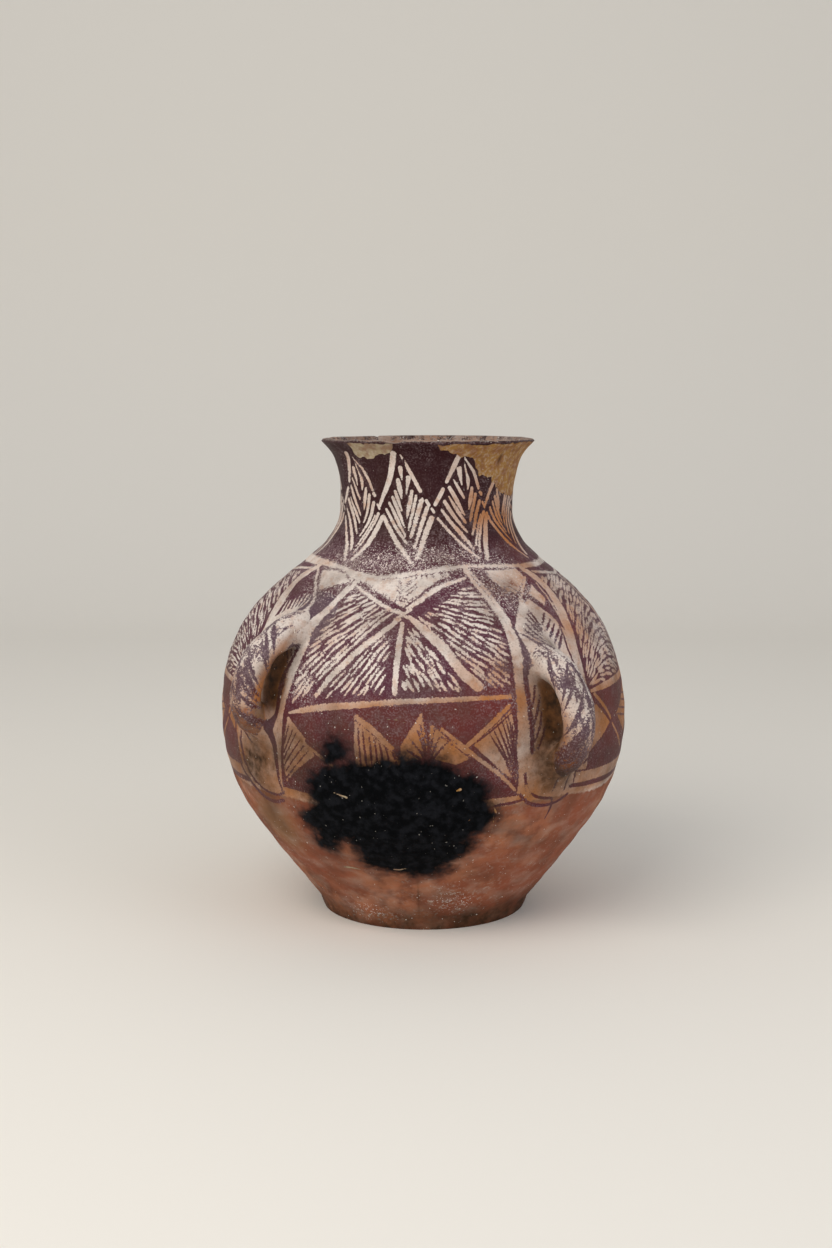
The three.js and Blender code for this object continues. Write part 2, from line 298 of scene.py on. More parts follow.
@dataclass
class Wall:
    """The jar's outside as a grid of rows up the wall and columns round it, with relief and layers."""

    outline: WallOutline
    columns: int = 1200
    row_step: float = 0.9
    foot_rows: int = 14
    out_of_round: float = 0.7
    three_cornered: float = 0.5
    lumps: tuple[Lumps, ...] = ((0.34, 60, 90, 11), (0.16, 18, 26, 12), (0.05, 5, 9, 13))
    ridge: float = 0.16
    ridge_spacing: float = 23.0
    drift: tuple[Point, ...] = (
        (0, -0.5), (90, -0.2), (166, -0.2), (220, -1.6), (290, -0.6), (345, 1.2), (400, 2.8),
    )

    def __post_init__(self) -> None:
        """Lays out the rows, coil by coil, so that every seam falls on a row."""
        outline = self.outline
        self.azimuth = -180.0 + 360.0 * np.arange(self.columns) / self.columns
        self.spans: dict[str, tuple[int, int]] = {"foot_coil": (0, self.foot_rows)}
        lengths = [np.linspace(-outline.foot_height, 0.0, self.foot_rows + 1)]
        start, previous = self.foot_rows, 0.0
        ends = [(name, top + outline.scarf) for name, _, top in outline.coil_spans()]
        for name, top in [*ends, ("rim_coil", outline.total)]:
            count = round((top - previous) / self.row_step)
            lengths.append(np.linspace(previous, top, count + 1)[1:])
            self.spans[name] = (start, start + count)
            start, previous = start + count, top
        self.length = np.concatenate(lengths)
        self.radius, self.level = outline.at(np.maximum(self.length, 0.0))
        self.out = np.interp(self.length, outline.length, outline.out)
        self.up = np.interp(self.length, outline.length, outline.up)
        self._shape_foot()
        self.shape = (len(self.length), self.columns)
        self.relief = self._relief()
        self.layers = bare_fields(self.shape)

    def _shape_foot(self) -> None:
        """The foot's outside: nearly upright, bulging by a half sine, then stepping out to the wall."""
        outline = self.outline
        feet = self.length < 0.0
        share = 1.0 + self.length[feet] / outline.foot_height
        rise = outline.stations[0].radius - outline.foot_radius
        self.radius[feet] = outline.foot_radius + rise * share**3 + outline.foot_swell * np.sin(np.pi * share)
        self.level[feet] = share * outline.foot_height
        self.out[feet], self.up[feet] = 1.0, 0.0

    def _relief(self) -> Array:
        """Adds up what hand work does to the wall: out of round, lumps, and wavering ridges.

        Returns:
            How far the wall is pushed out at each row and column, in mm.
        """
        azimuth, length = np.radians(self.azimuth)[None, :], self.length[:, None]
        belly = smoothstep(0.0, 120.0, length) * (1.0 - 0.6 * smoothstep(330.0, 420.0, length))
        round_off = self.out_of_round * np.cos(2 * azimuth + 0.9)
        round_off = round_off + self.three_cornered * np.cos(3 * azimuth - 0.004 * length)
        waver = 5.0 * rough_field(self.shape, 120, 240, 14)
        ridges = self.ridge * np.sin(2 * np.pi * (length + waver) / self.ridge_spacing)
        steady = smoothstep(-13.0, 20.0, length)
        lumps = rough_sum(self.shape, *self.lumps)
        return belly * round_off + (0.35 + 0.65 * steady) * lumps + steady * ridges

    def lean(self, level: Array) -> Array:
        """How far the axis has drifted towards +X at a height: hand-built walls wander a little."""
        return np.interp(level, *zip(*self.drift))

    def place(self, azimuth: Array, radius: Array, level: Array) -> Array:
        """Turns places round the drifting axis into points: x goes with the sine, y with minus the cosine.

        Args:
            azimuth: degrees round from the front.
            radius: mm from the axis.
            level: height in mm.

        Returns:
            Points in mm.
        """
        turn = np.radians(azimuth)
        x = radius * np.sin(turn) + self.lean(level)
        y = -radius * np.cos(turn)
        return np.stack(np.broadcast_arrays(x, y, level), axis=-1)

    def surface(self, first: int, last: int) -> Array:
        """Gives the outside, pushed out by the relief along its normal.

        Args:
            first: the lowest row.
            last: the highest row, which is included.

        Returns:
            Points in mm, for each row and column.
        """
        rows = slice(first, last + 1)
        relief = self.relief[rows]
        radius = self.radius[rows, None] + relief * self.out[rows, None]
        level = np.maximum(self.level[rows, None] + relief * self.up[rows, None], 0.0)
        return self.place(self.azimuth[None, :], radius, level)

    def inside(self, length: Array) -> Array:
        """Gives the inner face, with half of the relief of the outside.

        Args:
            length: mm up the wall, for each row.

        Returns:
            Points in mm, for each row and column.
        """
        radius, level = self.outline.at(length, self.outline.thickness_at(length))
        relief = 0.5 * self.sample(self.relief, self.azimuth[None, :], length[:, None])
        return self.place(self.azimuth[None, :], radius[:, None] + relief, level[:, None])

    def sample(self, values: Array, azimuth: Array, length: Array) -> Array:
        """Reads a field between its rows and columns, by straight lines both ways.

        Args:
            values: the field, a value for each row and column of the wall.
            azimuth: degrees round from the front.
            length: mm up the wall.

        Returns:
            A value for each place.
        """
        azimuth, length = np.broadcast_arrays(azimuth, length)
        row = np.interp(length, self.length, np.arange(len(self.length)))
        column = (azimuth + 180.0) / 360.0 * self.columns
        low_row = np.clip(np.floor(row).astype(int), 0, self.shape[0] - 2)
        low_column = np.floor(column).astype(int)
        down, across = row - low_row, column - low_column
        first, second = low_column % self.columns, (low_column + 1) % self.columns
        upper = values[low_row, first] * (1 - across) + values[low_row, second] * across
        lower = values[low_row + 1, first] * (1 - across) + values[low_row + 1, second] * across
        return upper * (1 - down) + lower * down


# Painting


@dataclass(frozen=True)
class Placement:
    """Where a motif goes: the azimuth it was drawn about, the one it is laid at, and how it is varied."""

    home: float = 0.0
    centre: float = 0.0
    mirrored: bool = False
    stretch: float = 1.0
    lift: float = 0.0
    seed: int = 1

    @property
    def sign(self) -> float:
        """-1 for a mirrored motif, otherwise 1."""
        return -1.0 if self.mirrored else 1.0

    def lay(self, dabs: tuple[Dab | Point, ...]) -> Array:
        """Moves a motif to where it goes.

        Args:
            dabs: rows that start with azimuth and height.

        Returns:
            The same rows with azimuth and height moved.
        """
        laid = np.array(dabs, float)
        laid[:, 0] = self.centre + self.sign * self.stretch * (laid[:, 0] - self.home)
        laid[:, 1] += self.lift
        return laid


def nearest_on(
    x: Array, y: Array, start: Array, end: Array
) -> tuple[Array, Array]:
    """Measures points against a straight line: the foot of each on it, kept between its ends.

    Args:
        x: across, of the points.
        y: up, of the points.
        start: the line's start, which begins with x and y.
        end: the line's end, likewise.

    Returns:
        How far along the line each foot lies, from 0 to 1, and its distance.
    """
    dx, dy = end[0] - start[0], end[1] - start[1]
    across, along = x - start[0], y - start[1]
    share = np.clip((across * dx + along * dy) / max(dx * dx + dy * dy, TINY), 0.0, 1.0)
    return share, np.hypot(across - share * dx, along - share * dy)


def within(x: Array, y: Array, corners: Array) -> Array:
    """Tells which points lie inside a closed outline, by counting the edges a level line crosses.

    Args:
        x: across, of the points.
        y: up, of the points.
        corners: the outline's corners, as rows of x and y.

    Returns:
        A flag for each point.
    """
    inside = np.zeros(np.broadcast(x, y).shape, bool)
    for (ax, ay), (bx, by) in zip(corners, np.roll(corners, -1, axis=0)):
        rise = by - ay if abs(by - ay) > TINY else TINY
        inside ^= ((ay > y) != (by > y)) & (x < ax + (y - ay) * (bx - ax) / rise)
    return inside


def spindle(start: Point, end: Point, widths: Dab, lean: float = 0.0) -> tuple[Dab, Dab, Dab]:
    """A stroke with widths at its start, middle and end, its middle moved aside by some degrees."""
    middle = ((start[0] + end[0]) / 2 + lean, (start[1] + end[1]) / 2)
    return (*start, widths[0]), (*middle, widths[1]), (*end, widths[2])


@dataclass
class Brush:
    """Lays strokes, fills and hatching on the wall's layers, as signed distances in mm from their edges."""

    wall: Wall
    placement: Placement
    reach: float = 4.0
    dash_reach: float = 2.0
    wobble: float = 0.35
    wobble_radius: float = 130.0
    width_wobble: float = 0.09
    least_radius: float = 60.0
    spoke_shift: float = 0.14
    dash_slip: float = 0.2
    dash_lean: float = 0.9
    dash_bow: float = 1.6
    dash_lengths: tuple[float, float] = (0.8, 1.35)
    dash_widths: tuple[float, float] = (0.7, 1.2)

    def __post_init__(self) -> None:
        """Seeds the tremble of the hand."""
        self.random = np.random.default_rng(self.placement.seed)

    def _unrolled(self, places: Array, reach: float) -> tuple[Area, Array, Array]:
        """Unrolls the wall round some places: x is the turn from their middle times the radius, y the length.

        Args:
            places: rows that start with azimuth and height.
            reach: mm of wall to take in around them.

        Returns:
            Rows, columns and x of the grid there, its y, and the places as rows of x and y.
        """
        wall = self.wall
        lengths = wall.outline.length_at(places[:, 1])
        rows = slice(*np.searchsorted(wall.length, [lengths.min() - reach, lengths.max() + reach]))
        narrowest = max(self.least_radius, np.min(wall.radius[rows], initial=wall.outline.height))
        margin = math.degrees(reach / narrowest)
        low, high = places[:, 0].min(), places[:, 0].max()
        per_degree = wall.columns / 360.0
        start = math.floor((low - margin + 180.0) * per_degree)
        stop = min(math.ceil((high + margin + 180.0) * per_degree) + 1, start + wall.columns)
        numbers = np.arange(start, stop)
        middle = (low + high) / 2
        x = np.radians(-180.0 + numbers / per_degree - middle)[None, :] * wall.radius[rows, None]
        place_x = np.radians(places[:, 0] - middle) * np.interp(lengths, wall.length, wall.radius)
        area = rows, numbers % wall.columns, x
        return area, wall.length[rows, None], np.stack([place_x, lengths], axis=1)

    def _stroke(self, line: Array, reach: float) -> Area:
        """Measures a line of capsules whose width changes steadily: half the width less the distance.

        Args:
            line: rows of azimuth, height and width.
            reach: mm beyond its edges to measure.

        Returns:
            Rows, columns and the signed distance at them, positive inside.
        """
        (rows, columns, x), y, places = self._unrolled(line, reach + line[:, 2].max() / 2)
        signed = np.full(x.shape, -FAR)
        for start, end, wide, next_wide in zip(places, places[1:], line[:, 2], line[1:, 2]):
            share, distance = nearest_on(x, y, start, end)
            signed = np.maximum(signed, (wide + (next_wide - wide) * share) / 2 - distance)
        return rows, columns, signed

    def _outlined(self, outline: tuple[Point, ...]) -> Area:
        """Measures a closed outline: the distance to its nearest edge, with a minus sign outside it.

        Args:
            outline: its corners, as azimuths and heights.

        Returns:
            Rows, columns and the signed distance at them, positive inside.
        """
        (rows, columns, x), y, corners = self._unrolled(self.placement.lay(outline), self.reach + 2)
        nearest = np.full(x.shape, FAR)
        for start, end in zip(corners, np.roll(corners, -1, axis=0)):
            nearest = np.minimum(nearest, nearest_on(x, y, start, end)[1])
        return rows, columns, np.where(within(x, y, corners), nearest, -nearest)

    def _hand_drawn(self, dabs: tuple[Dab, ...], steady: bool = False) -> Array:
        """Draws the line through some dabs, with the tremble of a hand on its place and width.

        Args:
            dabs: azimuth, height and width of each.
            steady: whether to leave the tremble out.

        Returns:
            Rows of azimuth, height and width along the line.
        """
        line = through(self.placement.lay(dabs))
        if steady:
            return line
        span = max(2, len(line) // 4)
        tremble = self.random.standard_normal((span, 3))
        places, shares = np.linspace(0, 1, span), np.linspace(0, 1, len(line))
        smooth = np.stack([np.interp(shares, places, part) for part in tremble.T], axis=1)
        line = line + smooth * [math.degrees(self.wobble / self.wobble_radius), self.wobble, 0.0]
        line[:, 2] *= 1.0 + self.width_wobble * smooth[:, 2]
        return line

    def _lay(self, area: Area, layer: Layer) -> None:
        """Adds an area to a layer: the greater distance counts.

        Args:
            area: rows, columns and signed distances.
            layer: that it is added to.
        """
        rows, columns, signed = area
        values = self.wall.layers[layer]
        values[rows, columns] = np.maximum(values[rows, columns], signed)

    def _lift(self, area: Area) -> None:
        """Takes an area out of the dark paint: the lesser distance counts.

        Args:
            area: rows, columns and signed distances.
        """
        rows, columns, signed = area
        paint = self.wall.layers[Layer.PAINT]
        paint[rows, columns] = np.minimum(paint[rows, columns], -signed)

    def dark(self, *dabs: Dab, steady: bool = False) -> None:
        """A stroke of dark paint through dabs of azimuth, height and width."""
        self._lay(self._stroke(self._hand_drawn(dabs, steady), self.reach), Layer.PAINT)

    def pale(self, *dabs: Dab) -> None:
        """A stroke left in the pale ground, or laid over the dark in slip."""
        self._lift(self._stroke(self._hand_drawn(dabs), self.reach))

    def mark(self, layer: Layer, *dabs: Dab) -> None:
        """A stroke on any layer of distances, such as a scratch through to the slip."""
        self._lay(self._stroke(self._hand_drawn(dabs, steady=True), self.reach), layer)

    def fill(self, outline: tuple[Point, ...], layer: Layer = Layer.PAINT) -> None:
        """Fills a closed outline: dark paint, or more of any other layer of distances."""
        self._lay(self._outlined(outline), layer)

    def clear(self, outline: tuple[Point, ...]) -> None:
        """Leaves a closed outline in the pale ground."""
        self._lift(self._outlined(outline))

    def hatch(
        self,
        outline: tuple[Point, ...],
        anchor: Point,
        focus: Point,
        spacing: float = 3.2,
        run: float = 11.0,
        width: float = 1.9,
        bend: float = 0.0,
    ) -> None:
        """Fills an outline with pale dashes that spread from a focus, each row of them staggered on the last.

        Args:
            outline: the field's corners, as azimuths and heights.
            anchor: a point of the motif, as azimuth and height.
            focus: where the dashes spread from, in mm across and up from the anchor.
            spacing: mm from one dash to the next across the run.
            run: mm along a dash.
            width: mm across a dash at its fullest.
            bend: how far a dash leans from the spread for each mm from the focus, in degrees.
        """
        (anchor_row,) = self.placement.lay((anchor,))
        wall = self.wall

        def flat(rows: Array) -> Array:
            """Lays places on a flat sheet about the anchor.

            Args:
                rows: which start with azimuth and height.

            Returns:
                Rows of x and y, in mm.
            """
            length = wall.outline.length_at(rows[:, 1])
            radius = np.interp(length, wall.length, wall.radius)
            return np.stack([np.radians(rows[:, 0] - anchor_row[0]) * radius, length], axis=1)

        corners = flat(self.placement.lay(outline))
        centre = flat(anchor_row[None])[0] + [self.placement.sign * focus[0], focus[1]]
        spokes = corners - centre
        angles = np.unwrap(np.arctan2(spokes[:, 1], spokes[:, 0]))
        first, spread = angles.min(), angles.max() - angles.min()
        distances = np.hypot(*spokes.T)
        distance, furthest, ring = distances.min() * 0.8, distances.max() + run / 2, 0
        while distance < furthest:
            tilt = self.placement.sign * math.radians(bend) * distance
            count = max(3, int(spread * distance * math.cos(tilt) / spacing))
            for spoke in range(count):
                shift = self.random.uniform(-self.spoke_shift, self.spoke_shift)
                share = (spoke + 0.5 * (ring % 2) + shift) / count
                angle = first + share * spread
                length = run * self.random.uniform(*self.dash_lengths)
                middle = distance + self.random.uniform(-self.dash_slip, self.dash_slip) * run
                steps = np.linspace(-0.5, 0.5, 9)
                aside = steps * self.random.normal(0.0, self.dash_lean)
                aside = aside + (0.25 - steps**2) * self.random.normal(0.0, self.dash_bow)
                ahead = np.array([math.cos(angle + tilt), math.sin(angle + tilt)])
                beside = np.array([-ahead[1], ahead[0]])
                dash = centre + middle * np.array([math.cos(angle), math.sin(angle)])
                dash = dash + (length * steps)[:, None] * ahead + aside[:, None] * beside
                dash = dash[within(dash[:, 0], dash[:, 1], corners)]
                if len(dash) > 3:
                    self._dash(dash, width * self.random.uniform(*self.dash_widths), anchor_row[0])
            distance += run * math.cos(tilt)
            ring += 1

    def _dash(self, dash: Array, full: float, about: float) -> None:
        """Lays one pale dash, fullest in its middle and pointed at both ends.

        Args:
            dash: rows of x and y on the flat sheet.
            full: its greatest width in mm.
            about: the azimuth where x is 0.
        """
        height = np.interp(dash[:, 1], self.wall.outline.length, self.wall.outline.level)
        radius = np.interp(dash[:, 1], self.wall.length, self.wall.radius)
        azimuth = about + np.degrees(dash[:, 0] / radius)
        width = full * (0.12 + 0.88 * np.sin(np.linspace(0.1, math.pi - 0.1, len(dash))) ** 0.75)
        self._lift(self._stroke(np.stack([azimuth, height, width], axis=1), self.dash_reach))


# The painted motifs


@dataclass(frozen=True)
class StarPanel:
    """The great panel between two handles: a star of pale rays over hatching, and a zigzag band below."""

    home: float = -6.5
    star: Point = (-6.5, 268.0)

    ground: tuple[Point, ...] = (
        (-31, 291), (-20, 289), (-10, 291), (0, 294), (10, 298), (18, 299), (22, 291), (25, 276), (27, 255),
        (27, 230), (26, 205), (26, 128), (10, 127), (-10, 127), (-30, 127), (-42, 129), (-41.6, 160),
        (-41, 180), (-40, 200), (-38.2, 224), (-36, 250), (-34.6, 262), (-31, 281),
    )
    fields: tuple[tuple[tuple[Point, ...], Point, dict[str, float]], ...] = (
        (
            ((-28, 284), (-20, 279), (-13, 273), (-10, 268), (-14, 257.5), (-19, 247), (-24, 233),
             (-28, 219), (-31, 207), (-37.5, 196), (-37, 215), (-35, 237), (-33, 258), (-30, 276)),
            (34, 52),
            {"spacing": 4.0, "run": 22.0, "width": 2.7},
        ),
        (
            ((-9.4, 259), (-14, 249), (-20, 233), (-25, 217), (-28.5, 204), (-20, 207.5), (-10, 210),
             (-9.5, 230), (-9, 250)),
            (120, 150),
            {"spacing": 3.9, "run": 20.0, "width": 2.4},
        ),
        (
            ((-5.3, 258), (-5.6, 235), (-5.8, 212), (3, 212.5), (11, 212.5), (8, 225), (4, 238), (0, 250),
             (-3, 258)),
            (-95, 120),
            {"spacing": 4.0, "run": 13.0, "width": 2.4},
        ),
        (
            ((-2, 266), (4, 273), (10, 280.5), (16, 286.5), (19, 288), (22, 279), (24, 265), (25, 250),
             (25, 232), (24.5, 214), (17.5, 214), (14, 226), (10, 239), (5, 251), (1, 259)),
            (-26, 24),
            {"spacing": 4.0, "run": 15.0, "width": 2.4},
        ),
    )
    rays: tuple[tuple[Dab, ...], ...] = (
        ((-7.6, 269.2, 3.2), (-11.2, 271.4, 3.6), (-14.6, 274.6, 3.4), (-20, 279.4, 3), (-27.6, 286, 2.2)),
        ((-5.2, 271, 3.4), (-2, 276.5, 4), (2, 282, 4), (7, 286.5, 3.4), (12, 289.5, 3), (17.5, 291.5, 2)),
        ((-8.2, 263.5, 3.6), (-13, 254, 4.8), (-18, 243, 5), (-22.5, 230, 4.6), (-26.5, 217, 4),
         (-29.5, 206, 3)),
        ((-6.6, 261.5, 3.6), (-7, 245, 4.8), (-7.3, 230, 4.8), (-7.6, 211.5, 4.4)),
        ((-4.2, 265.5, 3.6), (0, 257.5, 5.4), (5, 246, 7.2), (8.5, 235, 8.2), (11.5, 225, 9),
         (14.6, 216, 8)),
    )
    level_line: tuple[Dab, ...] = (
        (-38, 190.5, 1.6), (-34.5, 193.5, 3.2), (-28, 198, 5.2), (-20, 201.2, 5.6), (-10, 204, 5.2),
        (0, 206, 4.6), (10, 207.4, 4), (23.5, 207, 3.6),
    )
    left_edge: tuple[Dab, ...] = (
        (-28.2, 290, 4), (-30.4, 283, 5.2), (-33, 274, 5.4), (-35, 262, 5.6), (-36.2, 250, 5.2),
        (-37.2, 238, 5), (-38.3, 223, 5.2), (-39.3, 210, 5.6), (-40.2, 199, 5.4), (-40.9, 187, 5),
        (-41.3, 175, 5.2), (-41.6, 162, 4.2), (-41.8, 150, 3.2), (-42.2, 138, 2.4), (-42.6, 124, 1.2),
    )
    right_edge: tuple[Dab, ...] = (
        (18.8, 297, 3.2), (20.6, 289.6, 3), (22.4, 283, 3.2), (24.7, 271.6, 4.2), (26.3, 261.4, 5.4),
        (27.2, 252.9, 6.8), (27.3, 241, 7), (26.9, 225, 6.6), (26.6, 205, 7.2), (26.3, 185, 7.4),
        (25.9, 165, 6.6), (26.2, 148, 4.2), (26, 130, 2.4),
    )

    def draw(self, brush: Brush) -> None:
        """Paints the whole panel in the potter's order: ground, hatching, rays, then edges.

        Args:
            brush: placed where the panel goes.
        """
        brush.fill(self.ground)
        for outline, focus, weave in self.fields:
            brush.hatch(outline, self.star, focus, **weave)
        self._crown(brush)
        for ray in self.rays:
            wide = tuple((azimuth, height, width + 3.4) for azimuth, height, width in ray)
            brush.dark(*wide, steady=True)
        for ray in self.rays:
            brush.pale(*ray)
        brush.pale((-9, 270.6, 2.6), (-4.2, 264.4, 2.6))
        brush.pale((-8.8, 264, 2.6), (-4.2, 270.8, 2.6))
        brush.pale(*self.level_line)
        self._band(brush)
        brush.pale(*self.left_edge)
        brush.pale(*self.right_edge)

    def _crown(self, brush: Brush) -> None:
        """The pale field over the star: nested angles in its middle, and toothed borders over both rays.

        Args:
            brush: placed where the panel goes.
        """
        brush.clear(((-27, 290), (-20, 284.5), (-14, 278.5), (-9, 274), (-7, 272.6), (-4, 277), (0, 284.5),
                     (6, 291), (11, 294), (10, 297.5), (4, 297), (-4, 295.4), (-12, 293), (-20, 291.5)))
        for outer, inner, widths in (
            ((-5.2, 292.6), (-7.2, 288.4), (0.9, 1.5, 0.8)),
            ((-4.2, 291.2), (-7.6, 285.6), (0.9, 1.5, 0.8)),
            ((-3.2, 289), (-7.2, 282.6), (0.9, 1.5, 0.8)), ((-2.6, 286.6), (-6.5, 279.8), (0.9, 1.5, 0.8)),
            ((-10.2, 290.4), (-8.6, 287.2), (0.8, 1.3, 0.8)),
            ((-10.6, 287.6), (-8.2, 284), (0.8, 1.3, 0.8)),
            ((-10.8, 284.4), (-7.8, 280.6), (0.8, 1.3, 0.8)),
        ):
            brush.dark(*spindle(outer, inner, widths))
        for step in range(6):
            brush.dark((-9.4 + 0.86 * step, 276.6 - 0.2 * step, 1.3),
                       (-9.5 + 0.86 * step, 280.4 - 0.5 * step, 0.7))
        brush.dark((-26, 288.4, 1), (-20, 283.4, 2.2), (-14, 278.2, 2.4), (-9.4, 273.6, 1.6))
        brush.dark((-5, 274.6, 1.2), (-1.2, 281, 2), (3.6, 287.2, 2.2), (9, 291, 2.6), (15, 293.4, 3.2))
        for step in range(12):
            brush.dark((-24.8 + 1.36 * step, 287.0 - 1.16 * step, 1.7),
                       (-24.9 + 1.36 * step, 290.0 - 1.16 * step, 0.7))
        for step in range(13):
            across = -4.2 + 1.25 * step
            foot = 276.0 + 8.6 * math.sin(math.radians(6.6 * step)) + 0.62 * step
            brush.dark((across, foot, 1.6), (across - 0.1, foot + 3, 0.7))
        brush.dark((-18.6, 290.8, 0.6), (-14, 291.8, 1.2), (-9, 292.6, 0.7), (-4.6, 294.2, 1.5),
                   (1, 295, 1.5), (6, 296.4, 1.3), (11, 297.6, 2.4), (16, 298.4, 3))
        for across, drop in ((-3.8, 2.6), (-1.6, 2.0), (0.8, 2.8), (3.6, 2.0), (7.2, 2.2)):
            brush.dark((across, 295.2, 1.5), (across + 0.5, 295.0 - drop, 0.8))

    def _band(self, brush: Brush) -> None:
        """The zigzag band: buff triangles with hatching, between dark fields.

        Args:
            brush: placed where the panel goes.
        """
        brush.clear(((-38.4, 186), (-33.2, 172), (-29.6, 160), (-34.5, 148), (-40, 134), (-40.4, 150),
                     (-39.4, 172)))
        for start, end in (
            ((-40, 138), (-31.5, 163)), ((-40, 143), (-32.8, 167)), ((-40, 148), (-34.2, 171)),
            ((-40, 153), (-35.4, 175)), ((-40, 159), (-36.6, 178.5)), ((-39.8, 166), (-37.7, 181.5)),
        ):
            brush.dark((*start, 1.5), (*end, 1.1))
        brush.dark((-40.2, 133, 2), (-35, 146, 2.4), (-30, 157, 2))
        brush.pale((-38.2, 186, 3), (-35.8, 179.5, 3.2), (-33, 172.5, 2.8))
        brush.pale((-31.6, 167, 1.8), (-28, 160, 2), (-24.5, 153, 1.4))

        brush.clear(((-18, 192), (-13, 182), (-8, 168), (-6, 157), (-12, 153), (-17.6, 152), (-18.2, 170)))
        for step in range(7):
            top = 186.0 - 3.2 * step
            brush.dark((-17 + 1.45 * step, top, 1.1), (-16.8 + 1.5 * step, 170.0 - step, 1.7),
                       (-16.4 + 1.5 * step, 156, 1.3))
        brush.pale((-18, 193, 3), (-13.4, 184, 3.8), (-8.4, 170, 3.4))
        brush.dark((-17.4, 189.5, 1), (-13.4, 180.2, 1.2), (-8.8, 167, 1))

        brush.clear(((-6, 171), (-3, 183), (-0.4, 195), (0.2, 182), (1, 164), (-6.5, 158)))
        brush.clear(((1.2, 163), (1.6, 189), (3.4, 185), (6, 177), (10, 170), (12, 162), (8, 157)))
        for azimuth, height in ((-5.0, 169), (-3.6, 178), (-2.0, 185), (-0.6, 189), (1.0, 186), (2.6, 184),
                                (4.2, 179), (5.8, 174)):
            brush.dark((1, 157, 1.6), (0.5 + azimuth * 0.5, 157 + (height - 157) * 0.55, 1.9),
                       (azimuth, height, 1))
        brush.pale((-5.6, 171, 2.6), (-3, 183, 3), (-0.5, 195, 2.2))
        brush.pale((4.6, 184, 2.2), (10, 171, 3), (15, 158, 3.2), (20, 146, 3), (24.6, 133, 2.4))
        brush.dark((4, 180, 1.2), (9.6, 167, 1.4), (14.4, 155, 1.2))

        brush.clear(((12.6, 172), (17.6, 184), (23.4, 197), (24.2, 172), (24.6, 140), (20.4, 150),
                     (16, 162)))
        for azimuth, height in ((16.6, 180), (17.8, 184), (19, 187.5), (20.2, 190.5), (21.4, 193),
                                (22.6, 194), (23.4, 186)):
            brush.dark(*spindle((24.4, 138), (azimuth, height), (1.4, 1.9, 1), 0.4))
        brush.pale((10.8, 171.5, 3.2), (16.4, 184, 3.8), (23.2, 199.5, 3.2))
        brush.dark((11.8, 170.4, 1.3), (17.2, 182, 1.5), (23.4, 196, 1.2))


